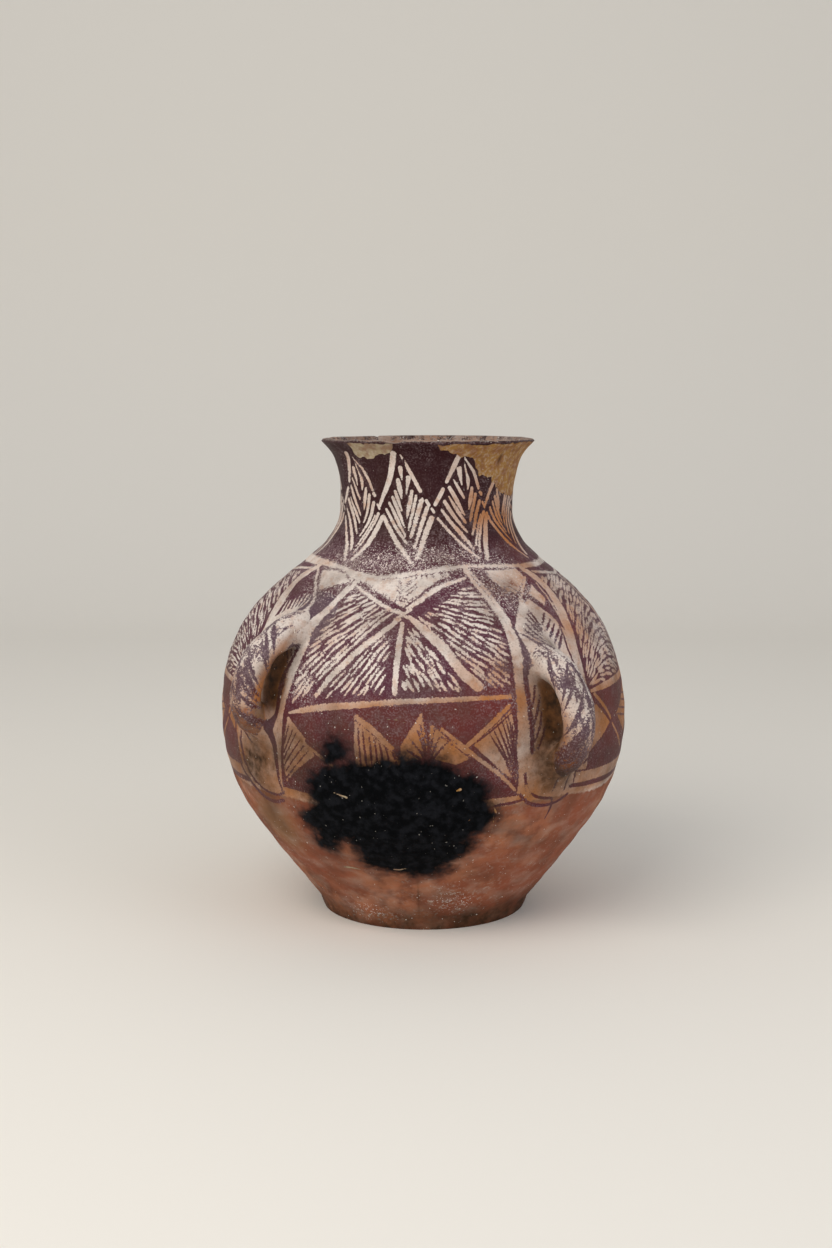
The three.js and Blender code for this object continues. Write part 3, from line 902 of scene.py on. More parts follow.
@dataclass(frozen=True)
class FanPanel:
    """A side panel: fine hatching gathered like a fan at its lower corner, over buff lozenges."""

    home: float = 84.0
    corner: Point = (51.0, 202.5)

    ground: tuple[Point, ...] = (
        (52, 297), (64, 297), (84, 297), (104, 297), (116, 297), (118.5, 284), (117, 262), (118.4, 232),
        (118, 205), (118, 138), (84, 138), (50, 138), (50, 205), (49.6, 232), (51, 262), (53, 285),
    )
    fan: tuple[Point, ...] = (
        (58.6, 290), (66, 291), (75, 289), (82, 287), (82, 250), (82, 209), (70, 208), (58, 206.5),
        (52.6, 206), (52.4, 222), (53.8, 240), (56.4, 261), (58.4, 275),
    )
    edge: tuple[Dab, ...] = (
        (51.6, 297, 6), (55, 291, 8.6), (56.8, 284, 9), (55.4, 274, 9.6), (53, 261, 9.6), (51.2, 247, 9.2),
        (50, 231, 7.6), (50, 215, 6.2), (50.5, 204, 4),
    )

    def _both(self, dabs: tuple[Dab | Point, ...]) -> tuple[tuple[Dab | Point, ...], ...]:
        """A stroke or an outline, and its mirror image about the panel's middle."""
        return dabs, tuple((2 * self.home - azimuth, *rest) for azimuth, *rest in dabs)

    def draw(self, brush: Brush, width: float) -> None:
        """Paints the fan from either lower corner, then the lines and lozenges below.

        Args:
            brush: placed where the panel goes.
            width: mm across a dash of the fan.
        """
        brush.fill(self.ground)
        for fan, (corner,), side in zip(self._both(self.fan), self._both((self.corner,)), (-1.0, 1.0)):
            brush.hatch(fan, corner, (2.0 * side, 0), spacing=3.2, run=15, width=width, bend=0.42 * side)
        brush.pale((84, 287, 3), (84.2, 250, 4.6), (84, 210, 4.4))
        brush.pale((58, 294, 2.4), (70, 292, 3), (84, 289, 3.4), (98, 292, 3), (110, 294, 2.4))
        brush.pale((53, 202, 2.4), (62, 203.5, 4.6), (84, 205, 4.8), (106, 203.5, 4.6), (115, 202, 2.4))
        for shape in (((52.4, 193), (55, 190), (62.6, 173.5), (57, 164), (50.4, 156), (50.4, 176)),
                      ((68, 178), (76, 190), (84, 198), (84, 164), (76, 158))):
            for either in self._both(shape):
                brush.clear(either)
        for start, end in (((69, 176), (83, 168)), ((71, 181), (83, 174)), ((74, 186), (83.4, 181)),
                           ((77, 190), (83.6, 187))):
            for either in self._both(spindle(start, end, (1.2, 1.9, 1.2))):
                brush.dark(*either)
        for line in (
            ((51.6, 200, 1.6), (57, 187, 2.2), (62.4, 174, 1.8)),
            ((48.6, 146, 3), (55, 157, 3.2), (62, 170, 3.4), (70, 181.5, 3.2), (79, 194, 2.4)),
        ):
            for either in self._both(line):
                brush.dark(*either)
        for line in (
            ((54.4, 198.5, 2.8), (59, 188, 3.6), (63.2, 176, 3)),
            ((64.4, 171, 2.2), (68.4, 160, 2.8), (73, 147, 2.6)),
            ((47.5, 151, 1.8), (54, 162, 2), (61, 174.5, 2)),
        ):
            for either in self._both(line):
                brush.pale(*either)
        self.draw_edges(brush)
        brush.clear(((45, 139), (84, 138), (123, 139), (123, 129.5), (84, 128.5), (45, 129.5)))
        brush.dark((45, 140, 1.8), (60, 138, 2.2), (84, 138.5, 2), (108, 138, 2.2), (123, 140, 1.8))
        brush.dark((44, 128, 3.4), (54, 125.5, 4.8), (68, 124.5, 5.2), (84, 126, 4.6), (104, 125, 5),
                   (124, 128, 3.4))

    def draw_edges(self, brush: Brush) -> None:
        """The wide pale border on either side, with its knee below the neck ring."""
        for either in self._both(self.edge):
            brush.pale(*either)


@dataclass(frozen=True)
class HandleGround:
    """The buff ground round a handle, framed by dark lines that swing under it in a double loop."""

    home: float = -49.5

    def draw(self, brush: Brush) -> None:
        """Paints the frame, the loop below the handle and the fringe over it.

        Args:
            brush: placed where the ground goes.
        """
        brush.fill(((-60.4, 299), (-52, 298), (-40, 297), (-31, 290), (-34, 274), (-37, 258), (-41, 266),
                    (-46, 269.5), (-52, 265.5), (-57.6, 257), (-57.4, 270), (-60, 284)))
        brush.clear(((-52, 294.5), (-44, 281.5), (-38, 284.5), (-32, 289), (-37, 294), (-44, 296)))
        for step in range(7):
            azimuth = -56.2 + 1.75 * step
            foot = 260.5 + 1.5 * step
            brush.pale((azimuth + 1.5, foot, 2.2), (azimuth + 0.8, foot + 5, 2), (azimuth, foot + 10, 0.9))
        brush.dark((-58.6, 297, 1.8), (-52, 290, 2.4), (-45.6, 279, 2.6), (-40.6, 267, 2.2),
                   (-37.6, 259, 1.6))
        brush.pale((-60.6, 298.6, 1.4), (-54.6, 294, 2), (-50, 287, 2.2), (-45, 279, 2.2),
                   (-40, 268.6, 2.4), (-36.8, 261, 2))
        brush.dark((-43, 282, 1), (-37, 285.4, 2.4), (-31.6, 288, 2.6))
        brush.clear(((-60, 172), (-59.6, 148), (-57, 132), (-52, 122), (-45, 119.6), (-43.6, 150),
                     (-44.6, 172), (-52, 184)))
        brush.dark((-36.9, 262, 3), (-38.2, 250, 3.6), (-39.1, 237, 3.2), (-40.3, 224, 3.4),
                   (-41.5, 214, 5.4), (-41.9, 203, 4.8), (-42.3, 193, 3.8), (-43.1, 183, 3.8),
                   (-43.7, 172, 4.8), (-43.5, 160, 4.8), (-43.1, 148, 4.6), (-42.8, 124, 3.6))
        brush.dark((-43.4, 238.6, 1), (-42, 232, 1.9), (-40.8, 224, 1.2))
        brush.dark((-42.3, 241.5, 0.8), (-41.1, 237.5, 1.5), (-40.2, 233, 0.8))
        brush.dark((-57.5, 177, 1.6), (-53, 171.5, 3), (-48.4, 167, 1))
        brush.dark((-58.4, 169, 1.4), (-55.4, 164, 2.2), (-52.8, 160, 0.8))
        brush.pale((-61.4, 168, 3.4), (-61, 147, 3.8), (-58.4, 131, 3.6), (-53.5, 120.6, 3.2),
                   (-48, 117.4, 2.4), (-44, 119, 1.6))
        brush.dark((-63.2, 172, 2.8), (-62.9, 146, 3.2), (-59.8, 128.5, 3.4), (-54.2, 117, 3.6),
                   (-48.6, 113.6, 3.6), (-43.4, 117, 3.2))
        brush.dark((-59.8, 166, 2.4), (-59.3, 148, 2.8), (-56.6, 132, 2.8), (-51.6, 122.4, 2.8),
                   (-46, 120.2, 2.6), (-42.8, 123, 2.4))


@dataclass(frozen=True)
class HandleGroundRight:
    """The ground round the right handle: speckled above, with a small leaf of hatching over the root."""

    home: float = 38.0

    def draw(self, brush: Brush) -> None:
        """Paints the speckled field, the leaf over the root and the loop below the handle.

        Args:
            brush: placed where the ground goes.
        """
        brush.fill(((20, 300), (34, 299), (50, 298), (53, 290), (51, 270), (49.5, 250), (47, 262),
                    (41, 276), (35, 270), (30, 258), (29.6, 240), (28.6, 262), (25, 284)))
        brush.clear(((29, 297), (47, 297), (48, 291), (42, 285), (37, 280.5), (33, 284), (29, 290)))
        brush.clear(((43.4, 279), (48.6, 285), (49.6, 274), (47, 270)))
        brush.pale((29.8, 255, 3), (33, 264.5, 3.6), (37.6, 274.6, 3.8))
        brush.pale((37.6, 276.4, 1.4), (42, 283, 2.4), (48.4, 291, 2))
        brush.pale((40.4, 271.5, 2.4), (44.4, 265, 3.2), (48, 249, 3))
        brush.dark((31, 281, 1), (35, 285.6, 1.4), (40, 280.4, 1.6))
        for step in range(6):
            brush.dark((31.2 + 1.35 * step, 252.6 + 3.2 * step, 1.8),
                       (33.1 + 1.15 * step, 247.4 + 2.9 * step, 2.9),
                       (35.2 + 0.9 * step, 241.6 + 2.4 * step, 1.6))
        for start, end in (
            ((44.4, 265), (40.4, 257)), ((45.4, 260), (40.5, 251)), ((46.2, 256), (41, 246.4)),
            ((46.9, 252), (41.6, 242.4)), ((47.2, 247.6), (42.6, 237)),
        ):
            brush.dark(*spindle(start, end, (1.7, 2.9, 1.6)))
        brush.dark((29.2, 256, 3), (29.6, 240, 4.4), (29, 218, 4.6), (28.8, 200, 3.8), (29, 182, 4.6),
                   (29, 164, 4))
        for top, foot in (
            ((31.4, 214), (28.8, 192)), ((32.4, 206), (29.2, 181)),
            ((32.7, 193), (29.8, 171)), ((33.2, 182), (30.6, 165)),
        ):
            brush.dark(*spindle(top, foot, (1.2, 2.6, 1.4), 0.3))
        brush.dark((48.6, 258, 2.2), (47.2, 240, 2.6), (47.8, 222, 2.2))
        brush.dark((27.4, 146, 2.4), (28.6, 132, 2.8), (32.4, 124.5, 3), (37.6, 121.6, 2.6))
        brush.dark((26.4, 130, 2.6), (29.6, 120.6, 3), (34.6, 116.6, 3.2), (39.6, 116.8, 2.8), (44, 122, 3))
        brush.pale((27.6, 136, 1.8), (30.4, 125.4, 2.2), (35.4, 119.8, 2.2), (40, 119.6, 1.8))
        for azimuth, top, foot in ((37.0, 140, 127), (41.8, 150, 126), (44.4, 150, 131)):
            brush.dark(*spindle((azimuth, top), (azimuth + 0.6, foot), (1.4, 2.6, 1.4), 0.3))
        brush.dark((38.2, 122, 2.6), (38.4, 112, 2.4), (37.6, 103, 1))
        brush.dark((20, 121.4, 2.4), (24, 122.4, 2.6), (27.4, 124, 2.2))


@dataclass(frozen=True)
class NeckLozenges:
    """The neck: leaning lozenges like veined leaves, left pale in a dark ground, over a pale neck ring."""

    pitch: float = 36.0
    count: int = 10
    first: float = -10.5
    ground_foot: float = -3.0
    ring: tuple[Point, ...] = (
        (-180, 300), (-140, 298), (-100, 301.5), (-75, 302.4), (-55, 301), (-40, 298), (-30, 294.6),
        (-20, 293.5), (-10, 295), (0, 297.2), (10, 300), (20, 300.8), (40, 300), (55, 299.2), (75, 299.4),
        (110, 301.5), (150, 298.5), (180, 300),
    )
    ring_widths: tuple[Point, ...] = (
        (-180, 2.6), (-90, 2.4), (-50, 2.8), (-35, 4), (-24, 3.4), (-17, 2), (0, 2.2), (10, 2.6), (60, 2.6),
        (180, 2.6),
    )
    leaves: tuple[tuple[tuple[Dab, ...], ...], ...] = (
        (
            ((-20.4, 347, 2.6), (-17.2, 357, 3.4), (-13.4, 369, 4.4), (-9.4, 389, 5)),
            ((-5.4, 388, 1.4), (-2.4, 380, 2.4), (2.1, 369, 2.6), (6.4, 359.4, 2.8)),
            ((7.6, 354, 1.4), (8.2, 352.6, 1.4)), ((10.6, 351, 2.4), (12, 348.2, 2.4)),
            ((14, 344.8, 2), (15.4, 342.2, 2)),
            ((-6, 377.6, 4.2), (-5.8, 373, 3.4), (-5.5, 368.4, 1.2)),
            ((-8, 367.6, 3.2), (-6.8, 361, 3.4), (-5.4, 353.6, 1.4)),
            ((-9.6, 358.6, 2.8), (-7.4, 351, 3), (-5, 343.4, 1.4)),
            ((-11.5, 353, 2.6), (-7.2, 342, 3.2), (-2.6, 330.6, 1.2)),
            ((-13.6, 349.4, 2.4), (-8, 336.6, 2.8), (-1.4, 323.6, 1.2)),
            ((-15.6, 344, 2), (-9, 331.4, 2.6), (0.6, 317, 1.2)),
            ((-17.6, 337.6, 3), (-10, 325, 3.2), (-3, 314.4, 3.4), (4.2, 303.4, 2)),
            ((-1.6, 369.4, 4), (-2.2, 363, 3), (-2.5, 356.4, 1.2)),
            ((1.4, 359, 2.8), (0, 348.6, 3.8), (-1.6, 337.4, 1.8)),
            ((4, 355.4, 2.2), (1.8, 342, 2.4), (-0.3, 328.6, 1.8)),
            ((7.3, 350.8, 3.4), (4.4, 337, 3.2), (1.8, 322.6, 2.2)),
            ((10.6, 345.4, 3.8), (7.4, 331, 3.4), (4.3, 314.4, 1.6)),
            ((13.9, 337.6, 4.2), (10.4, 324.4, 4.4), (6.8, 306, 3.2)),
        ),
        (
            ((-19.8, 348.4, 2.8), (-17.4, 354.6, 3.2), (-15.2, 360.6, 3)),
            ((-13.4, 366.6, 3), (-10.4, 377.6, 4.2), (-8, 389, 4.6)),
            ((-4.6, 386, 1.2), (-1, 381, 1.6), (4.4, 373, 2.6), (9.2, 360.6, 2.4)),
            ((10.6, 357, 2.6), (11.8, 355.6, 2.6)), ((13.4, 349, 1.8), (15.2, 345, 1.8)),
            ((-6.1, 376.8, 3.8), (-4.9, 371, 3.2), (-3.3, 363.8, 1)),
            ((-8.8, 367.8, 1.4), (-5, 360, 2.4), (-1.2, 352.6, 1.8)),
            ((-11, 361.6, 2.8), (-5.6, 350.6, 3.2), (-0.3, 339.4, 1.6)),
            ((-11.6, 354, 1), (-6, 343.6, 3), (0.2, 333, 1.8)),
            ((-14, 350.8, 3.2), (-7, 337.6, 3), (0.6, 324.8, 1.4)),
            ((-16, 343.2, 2), (-7, 328.6, 3.2), (-1, 318.8, 3.6), (2.2, 312.2, 1.8)),
            ((-18, 337.2, 2.2), (-9.5, 324, 2.2), (-3, 314, 2.8), (3.2, 304.4, 1.8)),
            ((-3.7, 381.6, 0.9), (-0.8, 372.4, 1.6), (0.9, 366, 3.4), (1, 360, 1.4)),
            ((4, 360.6, 2.4), (3.5, 352, 3.6), (2.8, 343.6, 1.2)),
            ((7, 355.6, 3), (6, 345.6, 3.2), (3.9, 334, 2)),
            ((10.6, 349.6, 3), (7.8, 335.4, 3), (4, 322.8, 1.6)),
            ((12, 339.4, 1.4), (8.2, 326.4, 1.8), (4.7, 315, 1.4)),
            ((14.6, 341, 3.2), (10.2, 326.2, 2.6), (5.4, 310, 1.6)),
            ((17.4, 338.4, 4.2), (12.8, 320.4, 4.8), (7.5, 305, 3.2)),
        ),
    )
    spines: tuple[tuple[Dab, ...], ...] = (
        ((-3.6, 386, 1), (-3.7, 372, 2.6), (-3.7, 355, 2.6), (-3.3, 341, 2.4), (-1.4, 331, 1.8),
         (1.5, 320, 1.6), (4.6, 309, 1.2)),
        ((-5, 388, 1), (-2.7, 371, 1.8), (0.3, 355, 2.2), (1.6, 342, 2.4), (2.2, 329, 2.2), (3.4, 316, 1.8),
         (4.6, 306, 1.2)),
    )

    def draw(self, wall: Wall) -> None:
        """Fills the neck dark, leaves each lozenge pale in it with its dark spine, and lays the ring below.

        Args:
            wall: to paint.
        """
        ring = np.interp(wall.azimuth, *zip(*self.ring))
        half = np.interp(wall.azimuth, *zip(*self.ring_widths)) / 2
        ground = wall.level[:, None] - ring[None, :]
        paint = wall.layers[Layer.PAINT]
        paint[:] = np.where(ground > self.ground_foot, np.maximum(paint, ground - 1.0), paint)
        for index in range(self.count):
            lift = float(np.random.default_rng(40 + index).uniform(-1, 1))
            placement = Placement(centre=self.first + self.pitch * index, lift=lift, seed=60 + index)
            brush = Brush(wall, placement)
            variant = index % len(self.leaves)
            for stroke in self.leaves[variant]:
                brush.pale(*stroke)
            brush.dark(*self.spines[variant])
        away = np.abs(wall.length[:, None] - wall.outline.length_at(ring)[None, :])
        paint[:] = np.minimum(paint, away - half[None, :])


# Strength, azimuth, height, half width in degrees and half height in mm of each soft spot on the wall
UNSLIPPED: tuple[Spot, ...] = ((9.0, -50, 185, 7, 8), (8.0, 130, 179, 7, 8), (6.2, 38, 287, 9, 8))
WARMED: tuple[Spot, ...] = (
    (0.14, 38, 288, 20, 22), (0.26, 16, 226, 12, 18), (0.14, 26, 215, 5, 22), (-0.1, 27, 190, 4, 30),
    (-0.1, -42, 190, 5, 30), (0.45, 34, 345, 16, 24), (0.4, 58, 330, 16, 30), (0.25, 54, 255, 10, 40),
    (-0.2, -14, 285, 22, 14), (0.25, 150, 250, 40, 60), (0.2, -120, 240, 30, 60),
)
OCHRED: tuple[Spot, ...] = ((0.95, -52, 92, 18, 42), (0.5, 32, 112, 14, 9))
# Worn places; the spot at azimuth -36 and height 214 is a painted highlight, paling the paint where light
# glances off it.
RUBBED_AND_HIGHLIGHT: tuple[Spot, ...] = (
    (1.1, -22, 304, 34, 13), (0.7, 12, 306, 26, 11), (0.8, -46, 290, 12, 14), (0.9, 27, 284, 6, 14),
    (0.8, 36, 284, 13, 18), (0.7, -14, 286, 22, 8), (0.3, 20, 150, 8, 16), (0.3, 140, 300, 40, 16),
    (0.4, -120, 296, 34, 16), (0.1, 0, 190, 30, 14), (0.8, -36, 214, 6, 16), (0.2, -5, 250, 30, 30),
    (1.1, 12, 30, 11, 15), (1.1, -28, 14, 18, 12), (0.3, -4, 22, 8, 10), (0.4, -150, 30, 30, 20),
)
# Dark spots: stains, a crack and a smudge; painted shade under the lower root of each handle; darker towards
# the foot all round.
DIRTIED_AND_SHADED: tuple[Spot, ...] = (
    (0.5, -53, 146, 8, 24), (0.75, 38, 154, 9, 30), (0.3, -35, 160, 7, 24), (0.45, 131, 150, 9, 26),
    (0.5, -139, 150, 9, 28), (0.4, -2.4, 36, 0.45, 18), (0.75, 0, 0, 400, 20), (0.2, 70, 140, 16, 16),
    (0.25, -2, 172, 22, 14), (0.5, 38, 243, 2.6, 4), (0.22, -54, 96, 16, 34), (0.6, 47.5, 385, 1.5, 5),
    (0.12, 40, 12, 40, 12), (-0.45, -30, 15, 16, 11), (-0.3, 12, 28, 12, 12),
)


def around(azimuth: Array | float, at: float) -> Array:
    """Degrees from one azimuth to others, the short way round."""
    return (azimuth - at + 180.0) % 360.0 - 180.0


def spotted(wall: Wall, spots: tuple[Spot, ...]) -> Array:
    """Adds up soft spots, each its strength in its middle and falling off by a bell curve.

    Args:
        wall: that they lie on.
        spots: strength, azimuth, height, half width in degrees and half height in mm of each.

    Returns:
        The sum at each row and column.
    """
    total = np.zeros(wall.shape)
    for strength, at, height, wide, tall in spots:
        turn, level = around(wall.azimuth[None, :], at), wall.level[:, None]
        total += strength * np.exp(-((turn / wide) ** 2) - ((level - height) / tall) ** 2)
    return total


def lay_colour_fields(wall: Wall) -> None:
    """Lays the slower fields: where slip lies, how warm it is, how worn (with one painted highlight), how
    dirty and where painted shade darkens it, and how deep in colour.

    Args:
        wall: whose layers are filled in.
    """
    azimuth, level = wall.azimuth[None, :], wall.level[:, None]
    layers = wall.layers
    border = 121.0 + 2.0 * np.sin(np.radians(azimuth * 4 + 30)) + 1.4 * np.cos(np.radians(azimuth * 9))
    layers[Layer.SLIP][:] = np.clip(level - border, -6.0, 6.0) - spotted(wall, UNSLIPPED)

    warm = 0.72 - 0.52 * smoothstep(196.0, 222.0, level) + 0.12 * smoothstep(300.0, 325.0, level)
    warm = warm + spotted(wall, WARMED) + 0.1 * rough_field(wall.shape, 40, 50, 21)
    bare = 1.0 - smoothstep(112.0, 124.0, level)
    layers[Layer.TONE][:] = np.clip(warm * (1.0 - bare) + bare * spotted(wall, OCHRED), 0.0, 1.0)

    # Real wear, plus the painted highlight among the spots.
    worn = 0.34 - 0.2 * smoothstep(330.0, 352.0, level) + spotted(wall, RUBBED_AND_HIGHLIGHT)
    worn = worn + rough_sum(wall.shape, (0.12, 30, 40, 22), (0.08, 8, 10, 23))
    layers[Layer.WEAR_AND_HIGHLIGHT][:] = np.clip(worn, 0.1, 1.5)

    # Darker between the slip's border and the level line, then the spots: stains, painted shade under the
    # handle roots, darker at the foot.
    dirt = 0.22 * (1.0 - smoothstep(190.0, 210.0, level)) * smoothstep(110.0, 125.0, level)
    dirt = dirt + spotted(wall, DIRTIED_AND_SHADED)
    dirt = dirt + rough_sum(wall.shape, (0.05, 16, 22, 24), (0.05, 50, 60, 25))
    layers[Layer.DIRT_AND_SHADE][:] = np.clip(dirt, 0.0, 0.8)
    layers[Layer.DEEP][:] = smoothstep(296.0, 330.0, level)


@dataclass(frozen=True)
class FireCloud:
    """The black bloom where fuel lay against the pot in the firing, with its two lobes at the lower left."""

    cloud: tuple[Point, ...] = (
        (-36, 132), (-35, 143), (-31, 149), (-25, 151), (-20, 156), (-14, 156), (-9, 156), (-4, 160.5),
        (0, 163), (5, 161), (9, 156), (12, 151), (14.5, 143), (16.5, 134), (17.6, 124), (18.6, 114),
        (16.6, 104), (14, 95), (12, 86), (10.4, 76), (8, 68), (4.6, 61.5), (0.6, 57.5), (-4, 56),
        (-8.5, 58.5), (-13, 62), (-18, 66.5), (-20.6, 74), (-20.4, 84), (-21.6, 93), (-25, 92), (-28.4, 86),
        (-30.4, 78.5), (-32.4, 75), (-35, 79), (-35.4, 85), (-33, 90), (-32.6, 95), (-36, 100), (-38, 105),
        (-36.6, 113), (-34.6, 121),
    )
    smudge: tuple[Point, ...] = ((-27, 173), (-22.6, 176), (-19.6, 170), (-18, 162), (-14, 154), (-28, 151),
                                 (-27.6, 163))

    def draw(self, wall: Wall) -> None:
        """Lays both outlines on the soot layer and lets their edges breathe.

        Args:
            wall: to blacken.
        """
        brush = Brush(wall, Placement(), reach=26.0)
        soot = wall.layers[Layer.SOOT]
        brush.fill(self.cloud, Layer.SOOT)
        kept = soot.copy()
        soot[:] = BARE[Layer.SOOT]
        brush.fill(self.smudge, Layer.SOOT)
        soot[:] = np.maximum(kept, soot - 4.4)
        turn, level = wall.azimuth[None, :] + 33.0, wall.level[:, None]
        soot -= 9.0 * np.exp(-((turn / 5.5) ** 2) - ((level - 131.0) / 24.0) ** 2)
        soot += rough_sum(wall.shape, (1.4, 7, 9, 31), (1.6, 20, 22, 32), (0.8, 3, 4, 35),
                          (1.2, 40, 44, 37))


@dataclass(frozen=True)
class SpalledPatches:
    """The places where slip has flaked off under the lip, pale to the left and golden to the right."""

    pale: tuple[Point, ...] = (
        (-48, 402), (-47.4, 391), (-44, 386), (-39, 384.4), (-34, 385.4), (-30, 387.6), (-25, 387.8),
        (-21.6, 390), (-20, 396), (-19, 402),
    )
    golden: tuple[Point, ...] = (
        (4, 402), (6, 392.5), (12, 391.5), (17, 388.6), (22, 386.6), (26, 386), (29, 381), (32, 374.5),
        (36, 372), (41, 371.6), (46, 367.5), (50, 361), (56, 357.5), (62, 354), (70, 352), (80, 354),
        (90, 362), (98, 374), (106, 388), (112, 402),
    )
    scratches: tuple[tuple[Dab, ...], ...] = (
        ((19.2, 120, 0.5), (19.8, 116.5, 1.3), (20.6, 113, 0.5)),
        ((-10.6, 63.6, 0.8), (-8.6, 63.4, 1.5), (-6.8, 64.6, 1), (-4.6, 64.6, 0.5)),
        ((-24.6, 131, 0.6), (-21.2, 128, 2)),
        ((8.4, 136, 1.2), (9.4, 137, 2.6)),
        ((-31, 60, 0.8), (-27, 61.4, 2), (-23, 60.6, 0.8)),
        ((19.4, 85, 0.2), (19.9, 101, 0.5), (19.3, 117, 0.2)),
        ((-13, 190, 0.3), (-8, 192, 0.5), (-4.6, 189.6, 0.3)),
    )
    specks: int = 110

    def draw(self, wall: Wall) -> None:
        """Lays both on the flake layer, the golden one marked by the gold layer, then scratches.

        Args:
            wall: to spall.
        """
        brush = Brush(wall, Placement())
        brush.fill(self.pale, Layer.FLAKE)
        brush.fill(self.golden, Layer.FLAKE)
        wall.layers[Layer.FLAKE] += rough_sum(wall.shape, (0.7, 4, 5, 33), (0.6, 12, 12, 34))
        wall.layers[Layer.GOLD][:] = smoothstep(-8.0, 4.0, wall.azimuth)[None, :]
        for line in self.scratches:
            brush.mark(Layer.FLAKE, *line)
        strewn = np.random.default_rng(36)
        for _ in range(self.specks):
            azimuth, height = strewn.uniform(-180, 180), strewn.uniform(60, 210)
            length, slope, width = strewn.exponential(1.2), strewn.uniform(-1, 1), strewn.uniform(0.3, 0.65)
            end = (azimuth + 0.3 * length, height + slope * length, width / 2)
            brush.mark(Layer.FLAKE, (azimuth, height, width), end)


# Meshes


@dataclass
class Sheet:
    """A surface on a grid of rows and columns that may close on itself either way, in mm."""

    points: Array
    fields: Fields
    rows_close: bool = True
    start_pole: bool = False
    end_pole: bool = False
    strips: int = 1
    margin: float = 0.006
    sharp_angle: float = 38.0

    def mesh(self, name: str) -> bpy.types.Object:
        """Makes the object: a vertex for each grid point, four-sided faces between, and fans at any pole.

        Args:
            name: of the object.

        Returns:
            The new object, smooth, with its layers and its own map for baking.
        """
        rows, columns = self.points.shape[:2]
        spans = rows if self.rows_close else rows - 1
        grid = np.meshgrid(np.arange(spans), np.arange(columns), indexing="ij")
        row, column = (part.reshape(-1, 1) for part in grid)
        corner_rows, corner_columns = row + [0, 0, 1, 1], column + [0, 1, 1, 0]
        points = self.points.reshape(-1, 3)
        values = {layer: np.broadcast_to(self.fields[layer], (rows, columns)) for layer in Layer}
        flat = {layer: value.reshape(-1) for layer, value in values.items()}
        loops = [(corner_rows % rows * columns + corner_columns % columns).reshape(-1)]
        sizes = [np.full(len(row), 4)]
        places = [self._map(corner_rows, corner_columns, column)]
        around = np.arange(columns)[:, None]
        for present, edge, turn in ((self.start_pole, 0, [1, 0]), (self.end_pole, rows - 1, [0, 1])):
            if not present:
                continue
            ends = around + turn
            pole = np.full((columns, 1), len(points))
            points = np.vstack([points, self.points[edge].mean(axis=0)])
            flat = {layer: np.append(flat[layer], values[layer][edge].mean()) for layer in Layer}
            loops.append(np.hstack([edge * columns + ends % columns, pole]).reshape(-1))
            sizes.append(np.full(columns, 3))
            places.append(self._map(np.full((columns, 3), edge), np.hstack([ends, around + 0.5]), around))
        mesh = bpy.data.meshes.new(name)
        mesh.vertices.add(len(points))
        mesh.vertices.foreach_set("co", (points * MM).astype(np.float32).reshape(-1))
        corners, counts = np.concatenate(loops), np.concatenate(sizes)
        mesh.loops.add(len(corners))
        mesh.loops.foreach_set("vertex_index", corners.astype(np.int32))
        mesh.polygons.add(len(counts))
        mesh.polygons.foreach_set("loop_start", (np.cumsum(counts) - counts).astype(np.int32))
        mesh.polygons.foreach_set("use_smooth", np.ones(len(counts), bool))
        mesh.update(calc_edges=True)
        bake = mesh.uv_layers.new(name="OFBake")
        bake.data.foreach_set("uv", np.vstack(places).astype(np.float32).reshape(-1))
        for layer, value in flat.items():
            attribute = mesh.attributes.new(layer.value, "FLOAT", "POINT")
            attribute.data.foreach_set("value", value.astype(np.float32))
        mesh.set_sharp_from_angle(angle=math.radians(self.sharp_angle))
        piece = bpy.data.objects.new(name, mesh)
        bpy.context.scene.collection.objects.link(piece)
        return piece

    def _map(self, row: Array, column: Array, face: Array) -> Array:
        """Places for baking: the columns cut into equal strips, laid above each other with a margin between.

        Args:
            row: row of each corner.
            column: column of each corner, one past the last at the seam.
            face: column that each face starts at, which gives its strip.

        Returns:
            Places from 0 to 1, a row for each corner.
        """
        closed = np.concatenate([self.points, self.points[:1]]) if self.rows_close else self.points
        steps = np.linalg.norm(np.diff(closed, axis=0), axis=-1).mean(axis=1)
        up = np.concatenate([[0.0], np.cumsum(steps)]) / steps.sum()
        per_strip = self.points.shape[1] / self.strips
        strip = np.floor(face / per_strip)
        room = 1.0 - 2.0 * self.margin
        across = self.margin + room * (column - strip * per_strip) / per_strip
        tall = (strip + self.margin + room * np.interp(row, np.arange(len(up)), up)) / self.strips
        return np.stack([across, tall], axis=-1).reshape(-1, 2)


# Finishes


def linear(colour: str) -> tuple[float, float, float, float]:
    """Turns an sRGB hex value such as "A5694C" to linear light, by the curve of that standard.

    Args:
        colour: six hex digits.

    Returns:
        Red, green and blue, and 1 for opaque.
    """
    parts = [int(colour[i:i + 2], 16) / 255 for i in (0, 2, 4)]
    bright = [part / 12.92 if part <= 0.04045 else ((part + 0.055) / 1.055) ** 2.4 for part in parts]
    return (bright[0], bright[1], bright[2], 1.0)


Socket = bpy.types.NodeSocket


def add(tree: bpy.types.NodeTree, kind: str, inputs: dict[int | str, object] | None = None,
        output: int | str | None = 0, **settings: object) -> Socket | None:
    """Adds a node, gives it its settings, and links or sets its inputs.

    Args:
        tree: the node tree it goes in.
        kind: the node's type.
        inputs: a value or another node's socket for each named or numbered input.
        output: which output to return, or None for a node that has none.
        settings: the node's own settings.

    Returns:
        The asked output socket.
    """
    node = tree.nodes.new(kind)
    for key, value in settings.items():
        setattr(node, key, value)
    for key, value in (inputs or {}).items():
        if isinstance(value, Socket):
            tree.links.new(value, node.inputs[key])
        else:
            node.inputs[key].default_value = value
    return None if output is None else node.outputs[output]


